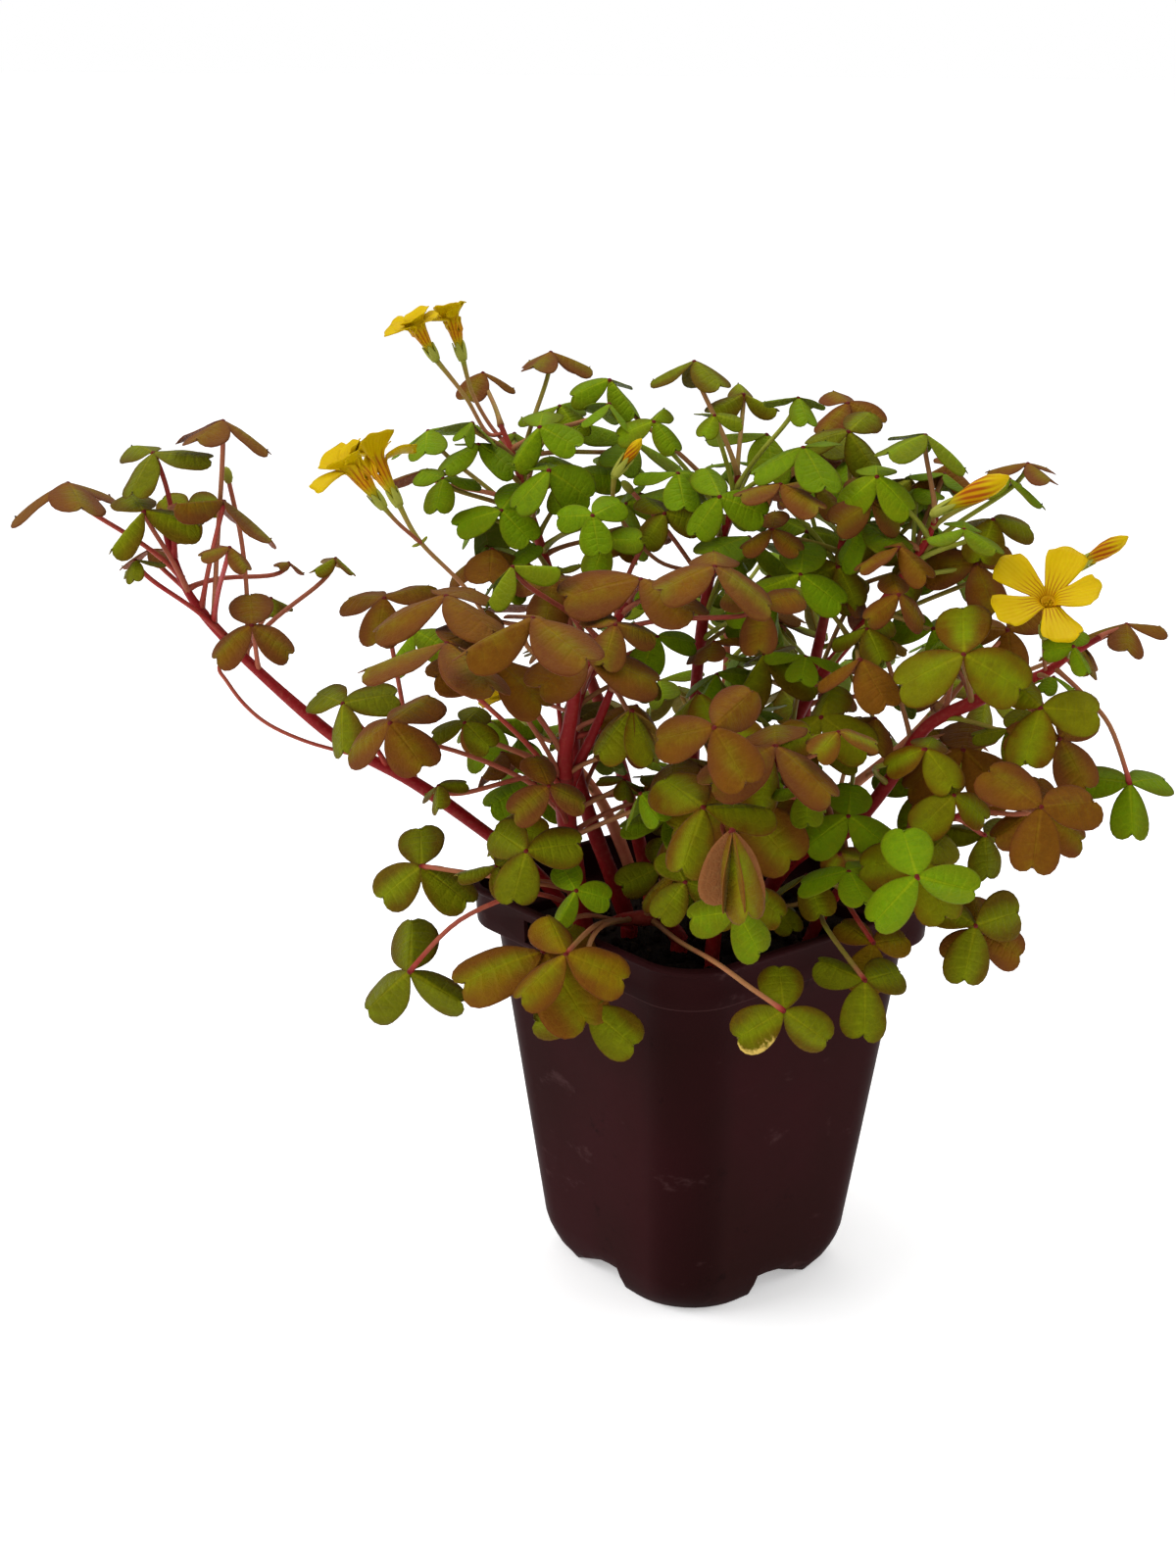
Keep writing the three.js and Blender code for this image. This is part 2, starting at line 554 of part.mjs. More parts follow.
function plantLayout() {
  const stems = STEMS.map((stem, index) => {
    const limbs = stem.limbs.map((rows, k) => {
      const limb = limbPoints(rows, k === 0);
      limb.rows = rows.length;
      return limb;
    });
    const leaves = stem.leaves.map((row) => ({
      stem: index, root: along(limbs[row[0]], row[1]), base: [row[2], row[3], row[4]],
      hub: seen(row[2], row[3], row[4]), size: RIB * row[5], lean: row[6], heading: row[7],
      spin: row[8], shade: row[9], droop: row[10],
      via: (row[11] || []).map((p) => seen(p[0], p[1], p[2])),
    }));
    if (stem.fill) {
      for (const leaf of fillRows(stem, limbs[0], index)) leaves.push({ ...leaf, stem: index });
    }
    return { name: stem.name, limbs, leaves, index };
  });
  const blooms = BLOOMS.map((row) => {
    const root = along(stems[row.stem].limbs[row.limb], row.at);
    const base = seen(...row.base);
    const mouth = seen(...row.mouth);
    const way = [root, ...row.stalk.map((p) => seen(...p)), base];
    return { ...row, way, base, dir: unit(sub(mouth, base)) };
  });
  const fixed = [];
  for (const stem of stems) {
    for (const limb of stem.limbs) {
      for (let i = 0; i + 1 < limb.length; i += 1) {
        const points = [];
        const count = Math.ceil(len(sub(limb[i + 1].p, limb[i].p)) / 3.5);
        for (let k = 0; k <= count; k += 1) {
          const p = mix(limb[i].p, limb[i + 1].p, k / count);
          points.push([p[0], p[1], p[2], limb[i].r]);
        }
        fixed.push(setOf(points, { stem: stem.index }));
      }
    }
  }
  for (const bloom of blooms) {
    for (let i = 0; i + 1 < bloom.way.length; i += 1) {
      const points = [];
      for (let k = 1; k <= 4; k += 1) {
        const p = mix(bloom.way[i], bloom.way[i + 1], k / 4);
        points.push([p[0], p[1], p[2], 0.7]);
      }
      fixed.push(setOf(points, { stem: bloom.stem }));
    }
    const cup = [];
    for (let k = 0; k <= 6; k += 1) {
      const p = add(bloom.base, mul(bloom.dir, (k / 6) * bloom.size));
      cup.push([p[0], p[1], p[2], 1.5 + 0.8 * k]);
    }
    fixed.push(setOf(cup, { stem: -1 }));
  }
  const all = stems.flatMap((stem) => stem.leaves);
  for (const leaf of all) {
    leaf.bow = 0;
    leaf.start = leaf.hub;
    leaf.samples = samples(leaf, leaf.hub);
  }
  for (let round = 0; round < ROUNDS; round += 1) {
    for (const leaf of all) {
      let best = null;
      for (const [right, up] of SHIFTS) {
        for (const step of STEPS) {
          if (best && best.crossed === 0) break;
          const hub = leaf.base
            ? seen(leaf.base[0] + right, leaf.base[1] + up, leaf.base[2] + step)
            : add(leaf.start, [right, -step, up]);
          const crossed = cost(leaf, hub, all, fixed);
          const sum = crossed + 0.1 * Math.abs(step) + (right || up ? 1.5 : 0);
          if (!best || sum < best.sum - 1e-9) best = { sum, hub, crossed };
        }
      }
      leaf.hub = best.hub;
      best = null;
      for (const bow of BOWS) {
        leaf.bow = bow;
        const sum = cost(leaf, leaf.hub, all, fixed) + 3 * Math.abs(bow);
        if (!best || sum < best.sum - 1e-9) best = { sum, bow };
      }
      leaf.bow = best.bow;
      leaf.cost = best.sum;
      leaf.samples = samples(leaf, leaf.hub);
    }
  }
  return { stems, blooms };
}

// solids
function solid(points, faces) {
  const props = new Float32Array(points.flat());
  let volume = 0;
  for (const [a, b, c] of faces) volume += dot(points[a], cross(points[b], points[c]));
  const turned = volume < 0 ? faces.map(([a, b, c]) => [a, c, b]) : faces;
  return new Manifold(new Mesh({
    numProp: 3, vertProperties: props, triVerts: new Uint32Array(turned.flat()),
  }));
}

// rings of points, all with the same count, joined by walls and closed at both ends
function loft(rings) {
  const n = rings[0].length;
  const points = rings.flat();
  const faces = [];
  for (let i = 0; i + 1 < rings.length; i += 1) {
    for (let k = 0; k < n; k += 1) {
      const a = i * n + k;
      const b = i * n + ((k + 1) % n);
      faces.push([a, b, b + n], [a, b + n, a + n]);
    }
  }
  const last = (rings.length - 1) * n;
  for (let k = 1; k + 1 < n; k += 1) {
    faces.push([0, k + 1, k], [last, last + k, last + k + 1]);
  }
  return solid(points, faces);
}

function tube(way, radii, sides) {
  let side = null;
  const rings = way.map((p, i) => {
    const before = way[Math.max(0, i - 1)];
    const after = way[Math.min(way.length - 1, i + 1)];
    const t = unit(sub(after, before));
    if (!side) side = Math.abs(t[2]) < 0.9 ? [0, 0, 1] : [1, 0, 0];
    side = unit(sub(side, mul(t, dot(side, t))));
    const other = cross(t, side);
    const ring = [];
    for (let k = 0; k < sides; k += 1) {
      const a = (2 * Math.PI * k) / sides;
      ring.push(add(p, add(
        mul(side, Math.cos(a) * radii[i]), mul(other, Math.sin(a) * radii[i]),
      )));
    }
    return ring;
  });
  return loft(rings);
}

// outline of half a leaflet, for a rib 1 long: along and across
const HALF_MID = [[0.6, 0.44], [1.12, 0.32]];
const HALF_SMALL = [[0.93, 0.46]];

// One body: a blade of lobes round a hub, cut in to the ribs, on a stalk. The lobes
// turn counterclockwise about n, and a valley lies before each one.
function lobed({ hub, n, lobes, valleys, half, notch, size, sag, dip, way, radii }) {
  const count = lobes.length;
  const points = [];
  const faces = [];
  const put = (p) => points.push(p) - 1;
  const place = (f, u, v, drop) => add(add(add(hub, mul(f.out, u * size)),
    mul(f.side, v * size)), mul(f.up, sag(u, Math.abs(v)) * size - drop));
  const sheets = [0, BLADE].map((drop) => ({
    v: valleys.map((p) => put(sub(p, mul(n, drop)))),
    m: lobes.map((f) => half.map(([u, v]) => put(place(f, u, -v, drop)))),
    t: lobes.map((f) => put(place(f, notch, 0, drop))),
    p: lobes.map((f) => half.map(([u, v]) => put(place(f, u, v, drop)))),
  }));
  const middle = put(sub(hub, mul(n, dip)));
  const rings = [];
  let side = unit(sub(valleys[0], hub));
  for (let i = way.length - 1; i >= 0; i -= 1) {
    const tangent = i === way.length - 1 ? n
      : unit(sub(way[i + 1], way[Math.max(0, i - 1)]));
    side = unit(sub(side, mul(tangent, dot(side, tangent))));
    const other = cross(tangent, side);
    rings.push(lobes.map((_, k) => {
      const a = (2 * Math.PI * k) / count;
      return put(add(way[i], add(mul(side, radii[i] * Math.cos(a)),
        mul(other, radii[i] * Math.sin(a)))));
    }));
  }
  const top = rings[0];
  const last = half.length - 1;
  for (let k = 0; k < count; k += 1) {
    const next = (k + 1) % count;
    const fan = (s, before, after, out) => {
      out(before, s.v[k], s.m[k][0]);
      out(before, s.m[k][0], s.t[k]);
      for (let j = 0; j < last; j += 1) {
        out(s.m[k][j], s.m[k][j + 1], s.t[k]);
        out(s.t[k], s.p[k][j + 1], s.p[k][j]);
      }
      if (before !== after) out(before, s.t[k], after);
      out(after, s.t[k], s.p[k][0]);
      out(after, s.p[k][0], s.v[next]);
    };
    fan(sheets[0], middle, middle, (a, b, c) => faces.push([a, b, c]));
    fan(sheets[1], top[k], top[next], (a, b, c) => faces.push([a, c, b]));
    const edge = (s) => [s.v[k], ...s.m[k], s.t[k], ...[...s.p[k]].reverse(), s.v[next]];
    const upper = edge(sheets[0]);
    const lower = edge(sheets[1]);
    for (let j = 0; j + 1 < upper.length; j += 1) {
      faces.push([upper[j + 1], upper[j], lower[j]], [upper[j + 1], lower[j], lower[j + 1]]);
    }
    for (let i = 0; i + 1 < rings.length; i += 1) {
      const r = rings[i];
      const q = rings[i + 1];
      faces.push([r[next], r[k], q[k]], [r[next], q[k], q[next]]);
    }
  }
  const foot = rings[rings.length - 1];
  for (let j = 1; j + 1 < count; j += 1) faces.push([foot[0], foot[j + 1], foot[j]]);
  return solid(points, faces);
}

function leafSolid(leaf) {
  const { n, e1, e2 } = leafFrame(leaf.lean, leaf.heading);
  const small = leaf.size < MIDDLE || !leaf.base;
  const way = stalkPoints(leaf, leaf.hub);
  const end = way.length - 1;
  const radii = way.map((_, i) => STALK_ROOT + (STALK_TOP - STALK_ROOT) * (i / end));
  way[end] = sub(leaf.hub, mul(n, BLADE + 0.1));
  radii[end] = HUB * 0.8;
  const valleys = [-60, 60, 180].map((turn) => {
    const a = rad(leaf.spin + turn);
    return add(leaf.hub, add(mul(e1, HUB * 1.1 * Math.cos(a)), mul(e2, HUB * 1.1 * Math.sin(a))));
  });
  return lobed({
    hub: leaf.hub, n, lobes: leafletFrames(leaf), valleys, size: leaf.size,
    notch: small ? 0.9 : 1, dip: 0, way, radii, half: small ? HALF_SMALL : HALF_MID,
    sag: (u, v) => -Math.tan(rad(FOLD)) * v - 0.08 * u * u,
  });
}

// a hanging leaf: its leaflets meet below the hub, so each one is a body of its own
function hangingSolids(leaf) {
  const { n } = leafFrame(leaf.lean, leaf.heading);
  const back = [...HALF_SMALL].reverse().map(([u, v]) => [u, -v]);
  const row = [[0, 0], ...HALF_SMALL, [0.9, 0], ...back];
  const count = row.length;
  const tip = HALF_SMALL.length + 1;
  const list = leafletFrames(leaf).map((f) => {
    const points = [0, BLADE].flatMap((drop) => row.map(([u, v]) => {
      const rise = -Math.tan(rad(FOLD)) * Math.abs(v) - 0.08 * u * u;
      return add(add(add(leaf.hub, mul(f.out, u * leaf.size)),
        mul(f.side, v * leaf.size)), mul(f.up, rise * leaf.size - drop));
    }));
    const faces = [];
    for (let k = 0; k < count; k += 1) {
      const next = (k + 1) % count;
      if (k !== tip && next !== tip) {
        faces.push([k, next, tip], [k + count, tip + count, next + count]);
      }
      faces.push([next, k, k + count], [next, k + count, next + count]);
    }
    return solid(points, faces);
  });
  const way = stalkPoints(leaf, leaf.hub);
  way[way.length - 1] = sub(leaf.hub, mul(n, 0.35));
  list.push(tube(way, way.map(() => STALK_TOP), 3));
  return list;
}

function ball(p, dir, r, length) {
  const way = [-0.5, -0.2, 0.2, 0.5].map((k) => add(p, mul(dir, k * length)));
  return tube(way, [r * 0.45, r, r, r * 0.4], 5);
}

// the green cup that holds a bloom, with a plain socket for the bloom's foot
function calyx(bloom) {
  const at = (k) => add(bloom.base, mul(bloom.dir, k));
  const cup = tube([at(-0.6), at(1.4), at(4.8)], [0.8, 2.1, 2.8], 5);
  const socket = tube([at(1.8), at(6)], [1.65, 2.3], 5);
  return cup.subtract(socket);
}

// one body out of many: scraps and sealed hollows are left out
function fuse(list) {
  const whole = Manifold.union(list);
  let best = null;
  for (const part of whole.decompose()) {
    if (!best || part.volume() > best.volume()) best = part;
  }
  return best.simplify(0.01);
}

function stemSolid(stem, blooms) {
  const list = [];
  for (const limb of stem.limbs) {
    const thick = limb[0].r > 2.3 ? 6 : 5;
    list.push(tube(limb.map((j) => j.p), limb.map((j) => j.r), thick));
  }
  for (const leaf of stem.leaves) {
    list.push(...(leaf.droop > STEEP ? hangingSolids(leaf) : [leafSolid(leaf)]));
  }
  for (const row of STEMS[stem.index].shoots) {
    const root = along(stem.limbs[row[0]], row[1]);
    const way = smooth([root, ...row[2].map((p) => seen(...p))], 2);
    list.push(tube(way, way.map(() => row[3]), 3));
    const tip = way[way.length - 1];
    const dir = unit(sub(tip, way[way.length - 2]));
    list.push(ball(add(tip, mul(dir, 1.6)), dir, row[4], 5));
  }
  for (const bloom of blooms) {
    if (bloom.stem !== stem.index) continue;
    const way = smooth(bloom.way, 2);
    list.push(tube(way, way.map((_, i) => (i === way.length - 1 ? 0.8 : 0.75)), 3));
    list.push(calyx(bloom));
  }
  return fuse(list);
}

const OPEN_TURN = 34; // where the first petal of an open bloom points

// blooms: a foot in the cup, a widening tube and five petals
function bloomSolid(bloom) {
  const d = bloom.dir;
  const e1 = unit(cross(d, Math.abs(d[2]) < 0.9 ? [0, 0, 1] : [0, 1, 0]));
  const e2 = cross(d, e1);
  const at = (k) => add(bloom.base, mul(d, k));
  const L = bloom.size;
  if (bloom.kind === 'bud') {
    const ring = (h, radii, turn) => radii.map((r, k) => {
      const a = (2 * Math.PI * k) / radii.length + turn;
      return add(at(h), add(mul(e1, r * Math.cos(a)), mul(e2, r * Math.sin(a))));
    });
    const even = (r) => [r, r, r, r, r, r];
    return loft([
      ring(2.3, even(0.55), 0), ring(2 + L * 0.3, even(L * 0.12), 0.1),
      ring(2 + L * 0.6, even(L * 0.165), 0.25),
      ring(2 + L * 0.85, [1.6, 3, 2.4, 3.1, 2.3, 3.2].map((r) => (r * L) / 22), 0.4),
      ring(2 + L, even(0.5), 0.5),
    ]);
  }
  const open = bloom.kind === 'open';
  const neck = open ? 12 : L * 0.55;
  const throat = open ? 3.0 : L * 0.17;
  const hub = at(2.3 + neck);
  const turns = [0, 72, 144, 216, 288];
  const lobes = turns.map((turn, k) => {
    const a = rad(turn + (open ? OPEN_TURN : 20));
    const out = add(mul(e1, Math.cos(a)), mul(e2, Math.sin(a)));
    const lift = rad(open ? 8 : 44 - 9 * (k % 2));
    const f = {
      out: add(mul(out, Math.cos(lift)), mul(d, Math.sin(lift))),
      up: sub(mul(d, Math.cos(lift)), mul(out, Math.sin(lift))),
    };
    return { ...f, side: cross(f.up, f.out) };
  });
  const valleys = turns.map((turn) => {
    const a = rad(turn - 36 + (open ? OPEN_TURN : 20));
    const r = throat + 1;
    return add(hub, add(mul(e1, r * Math.cos(a)), mul(e2, r * Math.sin(a))));
  });
  return lobed({
    hub, n: d, lobes, valleys, size: open ? L : L * 0.62, notch: open ? 1.02 : 1.05,
    half: open ? [[0.5, 0.2], [0.82, 0.29], [0.98, 0.16]] : [[0.62, 0.25], [0.98, 0.22]],
    sag: (u, v) => (open ? 0.05 * u - 0.3 * v * v : 0.1 * v - 0.16 * u * u), dip: open ? 2.5 : 1.6,
    way: [at(2.3), at(2.3 + neck * 0.5), at(2.3 + neck - BLADE - 0.1)],
    radii: [1.0, throat * 0.62, throat],
  });
}

// the pot
function roundSquare(half, corner, z, steps) {
  const ring = [];
  const c = half - corner;
  const t = rad(POT_TURN);
  const quarters = [[1, 1], [-1, 1], [-1, -1], [1, -1]];
  quarters.forEach(([sx, sy], q) => {
    for (let k = 0; k <= steps; k += 1) {
      const a = (Math.PI / 2) * (q + k / steps);
      const x = sx * c + corner * Math.cos(a);
      const y = sy * c + corner * Math.sin(a);
      ring.push([x * Math.cos(t) - y * Math.sin(t), x * Math.sin(t) + y * Math.cos(t), z]);
    }
  });
  return ring;
}

function block(x, y, z, wx, wy, wz, turn) {
  return Manifold.cube([wx, wy, wz], true).translate([x, y, z]).rotate([0, 0, turn]);
}

const square = (half, corner, z) => roundSquare(half, corner, z, 3);

const bodyHalf = (z) => 37.2 + ((BODY_HALF - 37.2) * (z - 12)) / (POT_HEIGHT - RIM_HEIGHT - 13);

function potSolid() {
  const outer = loft([
    square(FOOT_HALF, CORNER - 3, 0), square(34.4, CORNER, 3.4),
    square(bodyHalf(12), CORNER, 12), square(BODY_HALF, CORNER, POT_HEIGHT - RIM_HEIGHT - 1),
    square(LIP_HALF - 1.6, CORNER, POT_HEIGHT - RIM_HEIGHT + 0.6),
    square(LIP_HALF, CORNER, POT_HEIGHT - 1.6), square(LIP_HALF, CORNER, POT_HEIGHT),
  ]);
  const inner = loft([
    square(FOOT_HALF + 1.5, CORNER - 2, 7.2), square(bodyHalf(12) - WALL, CORNER - 1, 12),
    square(BODY_HALF - WALL, CORNER - 1, POT_HEIGHT - RIM_HEIGHT + 0.6),
    square(LIP_HALF - 2.6, CORNER - 1, POT_HEIGHT - RIM_HEIGHT + 2.4),
    square(LIP_HALF - 2.4, CORNER - 1, POT_HEIGHT + 0.6),
  ]);
  let pot = outer.subtract(inner);
  for (let k = 0; k < 4; k += 1) {
    const turn = POT_TURN + 90 * k;
    const aside = k % 2 ? NOTCH_ASIDE : -NOTCH_ASIDE;
    pot = pot.subtract(block(33, aside, NOTCH_HEIGHT / 2 - 1, 26, NOTCH_WIDTH, NOTCH_HEIGHT + 2, turn));
    const drain = Manifold.cylinder(6, 2.6, 2.6, 6).translate([24.5, 0, 3]).rotate([0, 0, turn]);
    pot = pot.subtract(drain);
  }
  for (const turn of [POT_TURN + 180, POT_TURN]) {
    const slot = block(LIP_HALF - 1, SLOT_ASIDE, 112.3, 8, SLOT_WIDTH, SLOT_HEIGHT, turn);
    pot = pot.subtract(slot);
  }
  return pot;
}

// the soil fills the pot, crumbly on top, with a plain hole round each stem's foot
function soilSolid(stems) {
  const draw = draws(77);
  const top = POT_HEIGHT - RIM_HEIGHT - 2;
  const inside = (z) => bodyHalf(z) - WALL - GAP - 0.2;
  const rough = (ring, z, bump) => ring.map(([x, y]) => [x, y, z + bump * (draw() - 0.5)]);
  const square = (half, corner, z) => roundSquare(half, corner, z, 2);
  const rings = [
    square(FOOT_HALF + 1.5 - GAP, CORNER, 7.2 + GAP), square(inside(12.4), CORNER + 1, 12.4),
    square(inside(top - 2), CORNER + 1, top - 2),
    rough(square(inside(top - 2) - 1.4, CORNER, 0), top - 0.6, 0.8),
    rough(square(33, 12, 0), top, 2.2), rough(square(18, 8, 0), top + 0.3, 2.4),
  ];
  let soil = loft(rings);
  for (const stem of stems) {
    const foot = stem.limbs[0][0];
    const hole = Manifold.cylinder(STEM_DEPTH + 6, (foot.r + GAP) * 1.17, (foot.r + GAP) * 1.17, 6)
      .translate([foot.p[0], foot.p[1], SOIL_TOP - STEM_DEPTH - GAP]);
    soil = soil.subtract(hole);
  }
  return fuse([soil]);
}

// meshes
function mesh(name, body, colour, roughness) {
  const got = body.getMesh();
  const geometry = new THREE.BufferGeometry();
  const points = new Float32Array(got.numVert * 3);
  for (let i = 0; i < got.numVert; i += 1) {
    for (let k = 0; k < 3; k += 1) points[3 * i + k] = got.vertProperties[i * got.numProp + k];
  }
  geometry.setAttribute('position', new THREE.BufferAttribute(points, 3));
  geometry.setIndex(Array.from(got.triVerts));
  geometry.computeVertexNormals();
  const material = new THREE.MeshStandardMaterial({ color: colour, roughness, metalness: 0 });
  const out = new THREE.Mesh(geometry, material);
  out.name = name;
  return out;
}

const SHADES = [0x6b3f20, 0x7a5a20, 0x6f6512, 0x5a5c14, 0x4f6a14, 0x5f8a14];

const { stems, blooms } = plantLayout();
const group = new THREE.Group();
group.name = 'potted_oxalis';
group.add(mesh('pot', potSolid(), 0x35201f, 0.45));
group.add(mesh('soil', soilSolid(stems), 0x1c1512, 0.95));
for (const stem of stems) {
  group.add(mesh(stem.name, stemSolid(stem, blooms), SHADES[STEMS[stem.index].shade], 0.55));
}
for (const bloom of blooms) group.add(mesh(bloom.name, bloomSolid(bloom), 0xe6b80a, 0.5));

export default group;
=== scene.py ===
"""The looks of a potted oxalis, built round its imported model: finer leaves,
stems, flowers, pot and soil in the places where the model has them. Metres, +Z up."""

import math

import bmesh
import bpy
import numpy as np
from bpy.props import FloatProperty, FloatVectorProperty, IntProperty, PointerProperty
from mathutils import Matrix, Vector, noise


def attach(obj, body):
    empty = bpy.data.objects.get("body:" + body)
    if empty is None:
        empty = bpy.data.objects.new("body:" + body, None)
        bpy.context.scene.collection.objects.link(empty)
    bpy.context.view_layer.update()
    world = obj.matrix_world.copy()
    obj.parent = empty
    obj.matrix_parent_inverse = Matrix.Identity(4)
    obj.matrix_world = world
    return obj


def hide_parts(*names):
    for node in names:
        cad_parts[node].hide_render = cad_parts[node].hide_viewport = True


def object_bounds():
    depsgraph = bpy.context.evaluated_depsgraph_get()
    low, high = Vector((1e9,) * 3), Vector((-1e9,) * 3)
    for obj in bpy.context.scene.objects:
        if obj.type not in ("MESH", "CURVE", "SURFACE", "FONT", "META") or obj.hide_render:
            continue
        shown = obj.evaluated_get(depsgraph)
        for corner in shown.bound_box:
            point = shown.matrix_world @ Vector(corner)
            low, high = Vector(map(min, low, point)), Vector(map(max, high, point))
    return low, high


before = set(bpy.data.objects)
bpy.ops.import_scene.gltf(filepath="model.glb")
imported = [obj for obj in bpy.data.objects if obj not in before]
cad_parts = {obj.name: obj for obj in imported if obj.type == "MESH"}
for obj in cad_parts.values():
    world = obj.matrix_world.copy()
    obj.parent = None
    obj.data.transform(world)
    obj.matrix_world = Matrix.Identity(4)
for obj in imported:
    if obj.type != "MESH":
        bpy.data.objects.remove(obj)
cad_box = [list(corner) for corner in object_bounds()]

bl_info = {
    "name": "Potted Oxalis",
    "version": (1, 0, 0),
    "blender": (4, 5, 0),
    "location": "View3D > Sidebar > Oxalis",
    "description": "Builds the leaves, stems, flowers, pot and soil of a potted oxalis",
    "category": "Add Mesh",
}

# Sizes below are millimetres, as on the plant. MM takes them to metres.
MM = 0.001

# driving sizes of the pot
POT_HEIGHT = 120
POT_TURN = 42.4
LIP_HALF = 53.5
RIM_HEIGHT = 13
BODY_HALF = 47.5
WALL = 1.5
FOOT_TOP = 12
FOOT_TOP_HALF = 37.2
NOTCH_HEIGHT = 7
NOTCH_WIDTH = 24
NOTCH_ASIDE = 5
NOTCH_STEP = 1.3
NOTCH_SLOPE = 16
SLOT_WIDTH = 6
SLOT_HEIGHT = 7
SLOT_ASIDE = -15.2
SLOT_UP = 112.3

# driving sizes of the soil and the plant
SOIL_TOP = 105
STEM_DEPTH = 11
RIB = 0.88
STEEP = 50  # a leaf whose leaflets hang by more degrees than this is folded shut
SHUT_FOLD = 56
DROOP = 14
FOLD = 15
PETAL_FOOT = 2.3
PETAL_THICK = 0.28
TRUMPET_NECK = 0.55  # shares of a petal's reach
TRUMPET_BLADE = 0.62
OPEN_BLADE = 0.98

# The standpoint that the plant was measured from: a point is its reading across and up
# on the upright plane through the pot's middle, and how near to the viewer it lies.
EYE_BACK = 658.2
EYE_UP = 358.3

